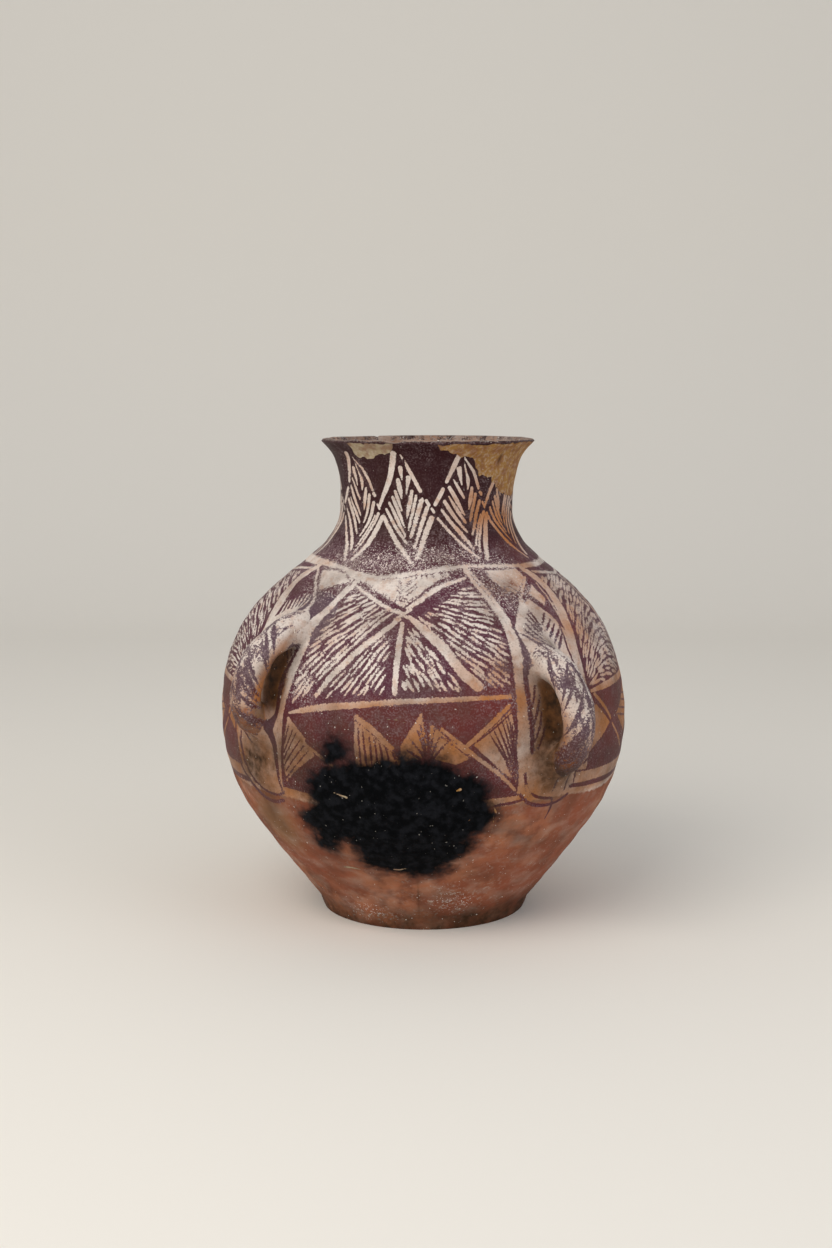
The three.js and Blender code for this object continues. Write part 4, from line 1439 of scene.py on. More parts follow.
# The mottling of the finishes: size of a lump in mm, detail, and how much it is squashed upright. Grit and
# chips in the clay are under half a millimetre, too fine to show here, so spots and grain are drawn coarser.
MOTTLES: dict[str, tuple[float, float, float]] = {
    "grain": (1.4, 2.0, 1.0),
    "spots": (1.7, 0.0, 1.0),
    "fleck": (2.6, 3.0, 1.0),
    "edge": (4.0, 3.0, 1.0),
    "stain": (7.0, 4.0, 1.0),
    "strokes": (14.0, 3.0, 7.0),
    "blotch": (17.0, 4.0, 1.0),
    "streaks": (22.0, 6.0, 2.0),
    "weather": (30.0, 5.0, 1.0),
    "cloud": (70.0, 3.0, 1.0),
}


@dataclass(frozen=True)
class Factor:
    """A start plus sources times their weights, eased from 0 to its top between bounds where it has them."""

    of: dict[str, float]
    start: float = 0.0
    bounds: Point | None = None
    top: float = 1.0


def plain(start: float = 0.0, **of: float) -> Factor:
    """The sum as it is."""
    return Factor(of, start)


def eased(low: float, high: float, top: float = 1.0, start: float = 0.0, **of: float) -> Factor:
    """The sum eased from 0 at low to the top at high."""
    return Factor(of, start, (low, high), top)


# What the coats need, each the product of its factors. A mottle's middle is 0.5, which the starts take off.
SHARES: dict[str, tuple[Factor, ...]] = {
    "clay_smoked": (eased(0.38, 0.66, blotch=1),),
    "clay_reddened": (eased(0.42, 0.62, cloud=1),),
    "clay_ochred": (eased(0.45, 1.0, tone=1),),
    "clay_streaked": (eased(0.42, 0.74, 0.3, streaks=1),),
    "clay_powdered": (eased(0.44, 0.7, fleck=1), eased(0.42, 0.7, stain=1), plain(wear=1)),
    "slip_warmed": (eased(0.0, 1.0, start=-0.35, tone=1, blotch=0.7),),
    "slip_stained": (eased(0.5, 0.72, 0.4, stain=1),),
    "slip_grained": (eased(0.5, 0.72, 0.32, grain=1),),
    "slipped": (eased(-1.2, 1.2, start=-2.5, slip=1, edge=5),),
    "paint_warmed": (eased(0.25, 0.95, start=-0.35, tone=1, blotch=0.7),),
    "dust_grain": (eased(0.47, 0.68, 0.75, grain=1),),
    "dust_cloud": (eased(0.45, 0.75, 0.4, stain=1),),
    "paint_dusted": (plain(dust_grain=1, dust_cloud=1), plain(wear=1)),
    "paint_rubbed": (eased(0.57, 0.64, grain=1), eased(0.5, 1.1, wear=1)),
    "paint_eaten": (plain(-6.0, grain=8, fleck=4), plain(wear=1)),
    "painted": (eased(-0.22, 0.22, start=-0.35, paint_held=1, edge=0.7, paint_eaten=1),),
    "aged": (eased(0.4, 0.72, 0.42, weather=1), plain(1.0, deep=-0.7)),
    "scorched": (eased(-16.0, 2.0, 0.55, start=-9.0, soot=1, stain=13, fleck=5),),
    "sooted": (eased(-8.0, 5.0, start=-9.0, soot=1, stain=13, fleck=5),),
    "soot_greyed": (eased(0.4, 0.7, stain=1),),
    "spalled": (eased(-0.15, 0.25, start=-0.8, flake=1, edge=1.6),),
    "spall_flecked": (eased(0.46, 0.62, 0.22, fleck=1),),
    "spall_stained": (eased(0.42, 0.62, 0.55, stain=1),),
    # Dirt and painted shade from one layer, less where soot already darkens the wall.
    "dirtied": (plain(dirt=1), plain(0.35, stain=1.4), plain(1.0, sooted=-1)),
    "chipped": (eased(0.825, 0.86, spots=1), plain(0.3, wear=1), plain(1.0, sooted=-0.6)),
    "roughened": (plain(-0.1, fleck=0.2),),
    # Soot drinks the light that slip still gives back.
    "shine": (plain(0.16, sooted=-0.13),),
    # Relief in mm: sandy grain, wiping strokes, the skin of slip and paint, and the step down at a spall.
    "height": (plain(grain=0.10, strokes=0.16, edge=0.10, painted=0.04, slipped=0.05, spalled=-0.35),),
}

# Each stack of colours: its base, then for each share the colour or stack laid over it, from below upwards.
COATS: dict[str, tuple[str, dict[str, str]]] = {
    "slip": ("slip_pale", {
        "slip_warmed": "slip_warm", "slip_stained": "slip_warm", "slip_grained": "patina"}),
    "paint": ("paint_purple", {
        "paint_warmed": "paint_maroon", "deep": "paint_deep", "paint_dusted": "dust",
        "paint_rubbed": "slip_pale"}),
    "black": ("soot", {"soot_greyed": "soot_grey"}),
    "bare": ("spall_pale", {
        "gold": "spall_gold", "spall_flecked": "slip_pale", "spall_stained": "clay_dark"}),
    "surface": ("clay", {
        "clay_smoked": "clay_dark", "clay_reddened": "clay_red", "clay_ochred": "clay_ochre",
        "clay_streaked": "bloom", "clay_powdered": "bloom", "slipped": "slip", "painted": "paint",
        "aged": "patina", "scorched": "scorch", "sooted": "black", "spalled": "bare", "dirtied": "grime_and_shade",
        "chipped": "fleck_pale"}),
}


@dataclass(frozen=True)
class Palette:
    """The colours of the jar's earths, as sRGB hex values."""

    clay: str = "A5694C"
    clay_dark: str = "794835"
    clay_red: str = "8E5039"
    clay_ochre: str = "896345"
    bloom: str = "B3A192"
    slip_pale: str = "DDD1C8"
    slip_warm: str = "B0713E"
    paint_purple: str = "502634"
    paint_maroon: str = "642A28"
    paint_deep: str = "2E0D12"
    dust: str = "A08C8E"
    soot: str = "050608"
    soot_grey: str = "17181C"
    scorch: str = "26161A"
    spall_pale: str = "A8987C"
    spall_gold: str = "9C7440"
    fleck_pale: str = "E6E0D4"
    # Dark brown for dirt, and for painted shade.
    grime_and_shade: str = "35210F"
    patina: str = "4E382C"


@dataclass(frozen=True)
class Earthenware:
    """Low-fired earthenware with slip and earth paint: matt, porous, worn. Each look of it is an instance."""

    name: str
    slot: str
    palette: Palette = Palette()
    clay_roughness: float = 0.86
    slip_roughness: float = 0.7
    paint_roughness: float = 0.6
    soot_roughness: float = 0.62
    mottle_roughness: float = 0.55
    paint_hold: float = 1.5

    def material(self) -> bpy.types.Material:
        """Builds the finish: clay, slip over it, paint over that, then soot, spalls, grime and relief.

        Returns:
            The new material.
        """
        made = bpy.data.materials.new(self.name)
        made.use_nodes = True
        tree = made.node_tree
        tree.nodes.clear()
        sources = self._sources(tree)
        colours = {name: linear(value) for name, value in vars(self.palette).items()}
        for name, (base, coats) in COATS.items():
            colour = colours[base]
            for share, over in coats.items():
                inputs = {0: sources[share], 6: colour, 7: colours[over]}
                colour = add(tree, "ShaderNodeMix", inputs, 2, data_type="RGBA")
            colours[name] = colour
        rough = self.clay_roughness
        for share, over in (("slipped", self.slip_roughness), ("painted", self.paint_roughness),
                            ("sooted", self.soot_roughness), ("spalled", self.clay_roughness)):
            rough = add(tree, "ShaderNodeMix", {0: sources[share], 2: rough, 3: over}, data_type="FLOAT")
        relief = {"Strength": 1.0, "Distance": MM, "Height": sources["height"]}
        shader = add(tree, "ShaderNodeBsdfPrincipled", {
            "Base Color": colours["surface"],
            "Roughness": add(tree, "ShaderNodeMath", {0: rough, 1: sources["roughened"]}, operation="ADD"),
            "Specular IOR Level": sources["shine"],
            "Normal": add(tree, "ShaderNodeBump", relief),
        })
        add(tree, "ShaderNodeOutputMaterial", {"Surface": shader}, None)
        return made

    def _sources(self, tree: bpy.types.NodeTree) -> dict[str, Socket]:
        """Adds the layers, the mottles and every share.

        Args:
            tree: the material's node tree.

        Returns:
            Their sockets by name.
        """
        place = add(tree, "ShaderNodeTexCoord", output="Object")
        sources = {}
        for name in (layer.value for layer in Layer):
            sources[name] = add(tree, "ShaderNodeAttribute", output="Fac", attribute_name=name)
        for name, (size, detail, squash) in MOTTLES.items():
            at = place
            if squash != 1.0:
                at = add(tree, "ShaderNodeMapping", {"Vector": place, "Scale": (1.0, 1.0, squash)})
            inputs = {
                "Vector": at, "Scale": 1 / (size * MM), "Detail": detail,
                "Roughness": self.mottle_roughness,
            }
            sources[name] = add(tree, "ShaderNodeTexNoise", inputs)
        held = {"Value": sources["paint"], "Min": -self.paint_hold, "Max": self.paint_hold}
        sources["paint_held"] = add(tree, "ShaderNodeClamp", held)
        for name, factors in SHARES.items():
            for factor in factors:
                value = factor.start
                for source, weight in factor.of.items():
                    if weight == 1 and value == 0.0:
                        value = sources[source]
                    else:
                        inputs = {0: sources[source], 1: weight, 2: value}
                        value = add(tree, "ShaderNodeMath", inputs, operation="MULTIPLY_ADD")
                if factor.bounds:
                    low, high = factor.bounds
                    inputs = {"Value": value, "From Min": low, "From Max": high, "To Max": factor.top}
                    value = add(tree, "ShaderNodeMapRange", inputs, interpolation_type="SMOOTHSTEP")
                if name in sources:
                    value = add(tree, "ShaderNodeMath", {0: sources[name], 1: value}, operation="MULTIPLY")
                sources[name] = value
        return sources


# Low-fired terracotta, coiled and wiped with a wet hand: matt and sandy, mottled brown and red by the fire.
BARE_CLAY = Earthenware("terracotta_coiled_and_wiped", "bare_terracotta")
# Slip brushed over terracotta, with strokes of dark earth paint: chalky ground, soft paint worn to specks.
PAINTED = Earthenware("slip_over_terracotta_brush_painted", "painted_slip")
# The same slip and paint rubbed by hands: greyer paint with clay showing through, with painted shade on the
# side of each handle that faces the wall.
WORN = Earthenware("slip_over_terracotta_rubbed_by_hands", "worn_slip",
                   Palette(paint_purple="57414C", paint_maroon="5E2E26"))


# The pieces


def settle(piece: bpy.types.Object, material: bpy.types.Material, node: str) -> None:
    """Gives a piece its finish, rides it on the jar's body and lets it stand for its CAD node.

    Args:
        piece: the finished mesh.
        material: that look's material.
        node: the CAD node that it replaces.
    """
    piece.data.materials.append(material)
    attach(piece, BODY)
    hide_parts(node)
    log.info("%s: %d faces, for %s", piece.name, len(piece.data.polygons), node)


@dataclass
class Body:
    """The floor slab, the foot and the coils of the wall."""

    wall: Wall
    inner_step: float = 7.0
    lowest_inside: float = 3.0
    bed_radius: float = 77.5
    foot_flat: Point = (79.0, 85.4)
    gap: float = 0.3
    lip_rows: int = 8
    lip_drop: float = 4.0
    nick: float = 0.9
    slab_edge: float = 71.5
    slab_bevel: float = 6.0
    slab_thickness: float = 12.0
    swirl: float = 0.5

    def inner_fields(self, level: Array) -> Fields:
        """Lays an unseen face: inside the neck the slip fades out, and the clay is painted darker with depth,
        as painted shade inside the jar.

        Args:
            level: height of each row.

        Returns:
            The layers of those rows.
        """
        fields = bare_fields((len(level), self.wall.columns))
        fields[Layer.SLIP][:] = (level[:, None] - 380.0) / 3.0
        # Painted shade: the clay darker the deeper inside the jar.
        fields[Layer.DIRT_AND_SHADE][:] = 0.25 + 0.6 * (1.0 - smoothstep(240.0, 395.0, level[:, None]))
        fields[Layer.WEAR_AND_HIGHLIGHT][:] = 0.8
        return fields

    def joined(self, name: str, rest: Array, fields: Fields) -> Sheet:
        """Makes a ring whose section runs up the outside, then round through the other points.

        Args:
            name: the coil whose part of the outside is taken.
            rest: the other points, row by row.
            fields: their layers.

        Returns:
            The ring.
        """
        first, last = self.wall.spans[name]
        layers = {}
        for layer in Layer:
            layers[layer] = np.concatenate([self.wall.layers[layer][first:last + 1], fields[layer]])
        return Sheet(np.concatenate([self.wall.surface(first, last), rest]), layers, strips=3)

    def coil(self, name: str, start: float, end: float) -> Sheet:
        """Makes a coil between two scarfed seams, high outside and low inside.

        Args:
            name: of the coil.
            start: mm up the wall to its lower seam.
            end: mm up the wall to its upper seam.

        Returns:
            The coil, the lowest with a bed for the foot.
        """
        wall, outline = self.wall, self.wall.outline
        top = end - outline.scarf
        bottom = start - outline.scarf if start else self.lowest_inside
        rest = wall.inside(np.linspace(top, bottom, max(3, round((top - bottom) / self.inner_step))))
        if not start:
            bed = wall.place(wall.azimuth[None, :], np.full((1, 1), self.bed_radius),
                             np.full((1, 1), outline.foot_height))
            rest = np.concatenate([rest, bed])
        return self.joined(name, rest, self.inner_fields(rest[:, 0, 2]))

    def rim(self) -> Sheet:
        """Makes the rim coil, whose lip is trimmed level, rubbed round by quarter circles, and nicked.

        Returns:
            The rim coil.
        """
        wall, outline = self.wall, self.wall.outline
        inner_end = outline.total - outline.lip_wall - outline.lip_edge
        outer_radius, outer_level = outline.at(outline.total)
        inner_radius, inner_level = outline.at(inner_end, outline.thickness_at(inner_end))
        share = np.linspace(0.0, 1.0, self.lip_rows + 1)[1:]
        reach = outer_radius - inner_radius
        crown = np.minimum(np.minimum(share, 1.0 - share) * reach / outline.lip_round, 1.0)
        base = outer_level + (inner_level - outer_level) * share
        level = base + (outline.height - base) * np.sqrt(np.clip(1.0 - (1.0 - crown) ** 2, 0.0, 1.0))
        nicks = np.clip(rough_field((1, wall.columns), 1, 14, 51) - 1.1, 0.0, 2.0)
        waves = np.abs(0.35 * rough_field((1, wall.columns), 1, 90, 52)) * crown[:, None]
        radius = (outer_radius - reach * share)[:, None] + 0.5 * wall.relief[-1:]
        lip = wall.place(wall.azimuth[None, :], radius, level[:, None] - self.nick * nicks - waves)
        seam = outline.total - outline.rim_coil_length - outline.scarf
        rest = np.concatenate([lip, wall.inside(np.linspace(inner_end - self.lip_drop, seam, 4))])
        fields = self.inner_fields(rest[:, 0, 2])
        on_lip = {layer: wall.layers[layer][-1:] for layer in Layer} | {
            Layer.PAINT: 0.7 * rough_field((self.lip_rows, wall.columns), 3, 9, 53),
            Layer.FLAKE: BARE[Layer.FLAKE],
            Layer.WEAR_AND_HIGHLIGHT: 1.0,
            Layer.TONE: 0.5,
            Layer.DIRT_AND_SHADE: 0.42,
        }
        for layer, value in on_lip.items():
            fields[layer][: len(lip)] = value
        return self.joined("rim_coil", rest, fields)

    def foot(self) -> Sheet:
        """Makes the foot coil, flat underneath, hugging the slab's bevelled edge.

        Returns:
            The foot coil.
        """
        height = self.wall.outline.foot_height
        section = ((self.bed_radius + self.gap, height - self.gap), (self.slab_edge + 0.4, 0.0),
                   *((radius, 0.0) for radius in self.foot_flat))
        radius, level = (np.array(part)[:, None] for part in zip(*section))
        fields = bare_fields((len(section), self.wall.columns))
        fields[Layer.DIRT_AND_SHADE][:] = 0.2
        return self.joined("foot_coil", self.wall.place(self.wall.azimuth[None, :], radius, level), fields)

    def slab(self) -> Sheet:
        """Makes the floor slab: a flat disc, whose top is a floor with a low swirl of finger marks.

        Returns:
            The slab.
        """
        azimuth = self.wall.azimuth[None, ::4]
        under = np.linspace(2.0, self.slab_edge, 24)[:, None]
        over = np.linspace(self.slab_edge + self.slab_bevel, 2.0, 40)[:, None]
        swirl = self.swirl * np.sin(over / 5.0 + 2 * np.radians(azimuth))
        swirl = swirl * smoothstep(0, 12, self.slab_edge + self.slab_bevel - over)
        level = np.concatenate([0.0 * under * azimuth, self.slab_thickness - self.swirl + swirl])
        fields = bare_fields(level.shape)
        # Painted shade on the floor deep inside the jar; the underside only a little darker.
        fields[Layer.DIRT_AND_SHADE][:] = np.repeat([0.15, 0.85], [len(under), len(over)])[:, None]
        points = self.wall.place(azimuth, np.concatenate([under, over]), level)
        return Sheet(points, fields, rows_close=False, start_pole=True, end_pole=True)

    def build(self) -> None:
        """Makes and dresses the slab, the foot, every coil and the rim."""
        bare, painted = BARE_CLAY.material(), PAINTED.material()
        settle(self.slab().mesh("base_slab_surface"), bare, "base_slab")
        settle(self.foot().mesh("foot_coil_surface"), bare, "foot_coil")
        for name, start, end in self.wall.outline.coil_spans():
            finish, material = (BARE_CLAY, bare) if name.startswith("lower_wall") else (PAINTED, painted)
            settle(self.coil(name, start, end).mesh(f"{name}_surface"), material, name)
        settle(self.rim().mesh("rim_coil_surface"), painted, "rim_coil")


@dataclass(frozen=True)
class HandleSeat:
    """Where a handle was set: azimuth and share of the shoulder's rise at both ends, and how worn it is."""

    name: str
    upper_turn: float
    upper_share: float
    lower_turn: float
    lower_share: float
    painted: float
    # How much darker the rod gets towards its lower root.
    low_darkening: float
    ochre: float
    seed: int


class End(Enum):
    """The two ends of a handle."""

    UPPER = "upper"
    LOWER = "lower"


@dataclass(frozen=True)
class Collar:
    """How the soft clay was pressed round one end: how far up the rod, and how far out over the wall."""

    rise: float
    spread: float
    beside: float
    outward: float
    sharpness: int


COLLARS = {End.UPPER: Collar(13.0, 6.0, 4.5, 10.0, 1), End.LOWER: Collar(10.0, 5.0, 2.5, 16.0, 2)}


@dataclass
class Handle:
    """A bowed rod of clay with its two luting collars smeared out on the wall."""

    wall: Wall
    seat: HandleSeat
    rod_width: float = 26.0
    rod_depth: float = 22.0
    root_swell: float = 1.18
    root_depth: float = 16.0
    upper_pull: float = 75.0
    lower_pull: float = 60.0
    upper_rise: float = 6.0
    sunk: float = 2.5
    rows: int = 150
    columns: int = 96
    web_rows: int = 26
    under_rows: int = 8
    under_depth: float = 1.4
    line_steps: int = 600
    band_count: int = 9

    def __post_init__(self) -> None:
        """Works out the rod's line, a cubic Bezier, its directions, and what hands did to its skin."""
        seat = self.seat
        upper, upper_bow = self._end(seat.upper_turn, seat.upper_share, self.upper_pull, self.upper_rise)
        lower, lower_bow = self._end(seat.lower_turn, seat.lower_share, self.lower_pull, 0.0)
        t = np.linspace(0.0, 1.0, self.line_steps)[:, None]
        rest = 1 - t
        self.line = rest**3 * upper + 3 * rest**2 * t * upper_bow + 3 * rest * t**2 * lower_bow + t**3 * lower
        steps = np.linalg.norm(np.diff(self.line, axis=0), axis=1)
        self.run = np.concatenate([[0.0], np.cumsum(steps)])
        along = np.gradient(self.line, self.run, axis=0)
        along = along / np.linalg.norm(along, axis=1, keepdims=True)
        middle_turn = math.radians((seat.upper_turn + seat.lower_turn) / 2)
        out = np.cross(along, [math.cos(middle_turn), math.sin(middle_turn), 0.0])
        self.out = out / np.linalg.norm(out, axis=1, keepdims=True)
        self.side = np.cross(self.out, along)
        self.column = np.arange(self.columns)
        self.angle = np.linspace(0.0, 360.0, self.columns, endpoint=False)
        skin = (self.line_steps, self.columns)
        self.squeeze = rough_sum(skin, (0.45, 90, 16, seat.seed), (0.22, 24, 8, seat.seed + 1))
        self.blots = rough_sum(skin, (0.8, 50, 5, seat.seed + 2), (0.8, 22, 2, seat.seed + 3))

    def _end(self, turn: float, share: float, pull: float, rise: float) -> tuple[Array, Array]:
        """Places one end of the line, and the point that pulls it outwards.

        Args:
            turn: azimuth of the end.
            share: how far up the shoulder it is.
            pull: mm that the line is pulled out.
            rise: mm that it is pulled up.

        Returns:
            The end, sunk in the wall, and the pulling point.
        """
        outline = self.wall.outline
        level = outline.shoulder_height(share)
        end = self.wall.place(turn, outline.at(outline.length_at(level))[0] - self.root_depth, level)
        out = np.array([math.sin(math.radians(turn)), -math.cos(math.radians(turn)), 0.0])
        return end, end + out * pull + [0, 0, rise]

    def rod_point(self, run: Array) -> Array:
        """Gives the rod's skin: out from its line by an ellipse, swollen at the roots, squeezed by hand.

        Args:
            run: mm along the line, for each column round the rod or for all of them. Column 0 faces out of
                the jar, and the next ones turn towards +azimuth.

        Returns:
            Points in mm.
        """
        row = np.interp(run, self.run, np.arange(self.line_steps))
        low = np.clip(np.floor(row).astype(int), 0, self.line_steps - 2)
        part = (row - low)[..., None]
        line, side, out = (
            values[low] * (1 - part) + values[low + 1] * part for values in (self.line, self.side, self.out)
        )
        share = run / self.run[-1]
        swell = 1 + (self.root_swell - 1) * np.abs(2 * share - 1) ** 3
        angle = np.radians(self.angle)
        squeeze = self.squeeze[low, self.column]
        squeeze = squeeze * smoothstep(0.0, 0.1, share) * smoothstep(0.0, 0.1, 1.0 - share)
        wide = (swell * self.rod_width / 2 + squeeze) * np.sin(angle)
        deep = (swell * self.rod_depth / 2 + squeeze) * np.cos(angle)
        return line + side * wide[..., None] + out * deep[..., None]

    def stand_off(self, points: Array) -> Array:
        """Measures how far points lie outside the wall.

        Args:
            points: in mm.

        Returns:
            Mm along the wall's normal, negative inside it.
        """
        radius, azimuth, length = self.where(points)
        wall_radius, _ = self.wall.outline.at(length)
        out = np.interp(length, self.wall.outline.length, self.wall.outline.out)
        relief = self.wall.sample(self.wall.relief, azimuth, length)
        return (radius - wall_radius) * out - relief

    def where(self, points: Array) -> tuple[Array, Array, Array]:
        """Finds the places of points round the jar.

        Args:
            points: in mm.

        Returns:
            Radius from the drifting axis, azimuth, and length up the wall.
        """
        x = points[..., 0] - self.wall.lean(points[..., 2])
        y = points[..., 1]
        return np.hypot(x, y), np.degrees(np.arctan2(x, -y)), self.wall.outline.length_at(points[..., 2])

    def on_wall(self, points: Array, depth: float = 0.0) -> Array:
        """Drops points onto the wall, or that deep in it, in a few steps along the wall's normal.

        Args:
            points: in mm.
            depth: mm under the wall's face.

        Returns:
            The dropped points.
        """
        for _ in range(4):
            points = self.pushed(points, -(self.stand_off(points) + depth))
        return points

    def pushed(self, points: Array, distance: Array) -> Array:
        """Moves points out along the wall's normal.

        Args:
            points: in mm.
            distance: mm to move each.

        Returns:
            The moved points.
        """
        _, azimuth, length = self.where(points)
        out = np.interp(length, self.wall.outline.length, self.wall.outline.out)
        up = np.interp(length, self.wall.outline.length, self.wall.outline.up)
        turn = np.radians(azimuth)
        normal = np.stack([out * np.sin(turn), -out * np.cos(turn), up], axis=-1)
        return points + normal * distance[..., None]

    def crossing(self, end: End, height: Array | float) -> Array:
        """Finds where the rod's skin comes out of the wall, seen from one end.

        Args:
            end: of the handle.
            height: mm off the wall, taken as no more than four fifths of the most that the skin reaches.

        Returns:
            For each column, mm along the line to the first step that stands higher.
        """
        stand = self.stand_off(self.rod_point(self.run[:, None]))
        high = stand > np.minimum(height, 0.8 * stand.max(axis=0))
        if end is End.UPPER:
            return self.run[np.argmax(high, axis=0)]
        return self.run[::-1][np.argmax(high[::-1], axis=0)]

    def rod_fields(self, run: Array) -> Fields:
        """Lays the rod's skin: worn slip, blotched and banded paint, painted shade on the side that faces the
        wall, and darker towards the lower root.

        Args:
            run: mm along the line, for each row and column.

        Returns:
            The layers there.
        """
        share = run / self.run[-1]
        facing = 0.5 - 0.5 * np.cos(np.radians(self.angle))
        inner = smoothstep(0.18, 0.6, facing)
        fields = bare_fields(run.shape)
        fields[Layer.SLIP][:] = 6.0 - 11.0 * smoothstep(0.52, 0.84, share) - 2.0 * facing
        fields[Layer.TONE][:] = 0.1 + 0.5 * smoothstep(0.36, 0.74, share) + self.seat.ochre * inner
        fields[Layer.WEAR_AND_HIGHLIGHT][:] = 0.6
        # Painted shade on the side facing the wall, and darker towards the lower root.
        dirt = 0.62 * smoothstep(0.55, 1.0, facing) + self.seat.low_darkening * smoothstep(0.6, 0.95, share) + 0.08
        fields[Layer.DIRT_AND_SHADE][:] = np.clip(dirt, 0.0, 0.8)
        row = np.interp(run, self.run, np.arange(self.line_steps)).astype(int)
        towards = self.angle * (-1.0 if self.seat.upper_turn > 0 else 1.0)
        paint = self.seat.painted + 0.5 * self.blots[row, self.column]
        paint = paint + 0.3 * np.cos(np.radians(towards + 20.0))
        paint = paint + 0.4 * smoothstep(0.3, 0.5, share) - 0.5 * inner
        varied = np.random.default_rng(self.seat.seed + 5)
        for step in range(self.band_count):
            centre = (0.3 + 0.062 * step + varied.uniform(-0.015, 0.015)) * self.run[-1]
            slant, middle, width = varied.uniform(60, 100), varied.uniform(30, 80), varied.uniform(4.5, 8.0)
            turn = around(towards, middle)
            fade = 1.0 - np.abs(turn) / 70.0
            paint = np.maximum(paint, 0.5 * width * fade - np.abs(run - (centre + slant * turn / 360.0)))
        fields[Layer.PAINT][:] = paint
        return fields

    def rod(self) -> Sheet:
        """Makes the rod from just under the wall's skin at one root to the other, closed by a fan at both.

        Returns:
            The rod.
        """
        first, last = (self.crossing(end, -self.sunk) for end in End)
        share = np.linspace(0.0, 1.0, self.rows)[:, None]
        run = first + share * (last - first)
        points, fields = self.rod_point(run), self.rod_fields(run)
        return self._turned(Sheet(points, fields, rows_close=False, start_pole=True, end_pole=True))

    @staticmethod
    def _turned(sheet: Sheet) -> Sheet:
        """The same sheet with its columns run the other way, so that its faces point out."""
        fields = {layer: values[:, ::-1] for layer, values in sheet.fields.items()}
        return replace(sheet, points=sheet.points[:, ::-1], fields=fields)

    def web(self, end: End) -> Sheet:
        """Makes a luting collar: a curve swings from the rod's skin out onto the wall, then back beneath.

        The curve is a quadratic Bezier whose middle point is where the rod's skin meets the wall, so it
        leaves along the rod and lands along the wall.

        Args:
            end: of the handle.

        Returns:
            The collar.
        """
        collar, angle = COLLARS[end], np.radians(self.angle)
        beside, outward = np.abs(np.sin(angle)), np.clip(np.cos(angle), 0.0, 1.0)
        spread = collar.spread + collar.beside * beside + collar.outward * outward**collar.sharpness
        lift = self.crossing(end, collar.rise + 3.0 * beside)
        top = self.rod_point(lift)
        corner = self.rod_point(self.crossing(end, 0.0))
        radial = corner - corner.mean(axis=0)
        radial = radial / np.linalg.norm(radial, axis=1, keepdims=True)
        landing = self.on_wall(corner + radial * spread[:, None])
        corner = self.on_wall(corner)
        share = np.linspace(0.0, 1.0, self.web_rows)[:, None, None]
        over = (1 - share) ** 2 * top + 2 * (1 - share) * share * corner + share**2 * landing
        flat = share[:, :, 0]
        over = self.pushed(over, np.maximum(0.12 * (1 - flat) + 0.02 - self.stand_off(over), 0.0))
        back = np.linspace(1.0, 0.0, self.under_rows)[:, None, None]
        under = self.on_wall(back * landing + (1 - back) * corner, self.under_depth)
        inner = top + (self.line[np.searchsorted(self.run, lift)] - top) * 0.12
        points = np.concatenate([over, under, inner[None]])
        shares = np.concatenate([flat, np.ones((self.under_rows, 1)), [[0.0]]])
        sheet = Sheet(points, self._web_fields(points, shares, lift))
        return sheet if end is End.UPPER else self._turned(sheet)

    def _web_fields(self, points: Array, share: Array, lift: Array) -> Fields:
        """Lays the collar: the wall's own layers where it lands, easing into the rod's where it leaves it.

        Args:
            points: of the collar, in mm.
            share: how far each row is from the rod, 1 on the wall.
            lift: mm along the rod's line where it leaves each column.

        Returns:
            The layers of the collar.
        """
        _, azimuth, length = self.where(points)
        rod = self.rod_fields(lift * np.ones((len(points), 1)))
        landed = smoothstep(0.0, 0.24, share)
        fields = {}
        for layer in Layer:
            beneath = self.wall.sample(self.wall.layers[layer], azimuth, length)
            fields[layer] = rod[layer] * (1 - landed) + beneath * landed
        return fields

    def build(self, material: bpy.types.Material) -> None:
        """Makes and dresses the rod and its two collars.

        Args:
            material: of the worn finish.
        """
        name = self.seat.name
        settle(self.rod().mesh(f"handle_{name}_rod"), material, f"handle_{name}")
        for end in End:
            node = f"{end.value}_luting_{name}"
            settle(self.web(end).mesh(f"{node}_web"), material, node)


SEATS = (
    HandleSeat("front_left", -41, 0.68, -49, 0.075, -0.7, 0.35, 0.5, 101),
    HandleSeat("front_right", 35, 0.51, 38, -0.12, -0.1, 0.8, 0.25, 111),
    HandleSeat("rear_right", 129, 0.6, 132, -0.015, -0.9, 0.4, 0.4, 121),
    HandleSeat("rear_left", -138, 0.55, -140, -0.06, -0.6, 0.5, 0.25, 131),
)


def shade_handle_gaps(wall: Wall) -> None:
    """Paints shade on the wall behind each handle, between its roots: darker and browner there, as painted
    shade.

    Args:
        wall: to make dirty.
    """
    for seat in SEATS:
        top, foot = (wall.outline.shoulder_height(share) for share in (seat.upper_share, seat.lower_share))
        turn = around(wall.azimuth[None, :], (seat.upper_turn + seat.lower_turn) / 2)
        away = (wall.level[:, None] - (top + foot) / 2) / (0.36 * (top - foot))
        gap = np.exp(-((turn / 5.2) ** 4) - away**4)
        # Painted shade: the wall behind the handle made dark and brown.
        wall.layers[Layer.DIRT_AND_SHADE][:] = np.maximum(wall.layers[Layer.DIRT_AND_SHADE], 0.8 * gap)
        wall.layers[Layer.TONE][:] = np.maximum(wall.layers[Layer.TONE], gap)


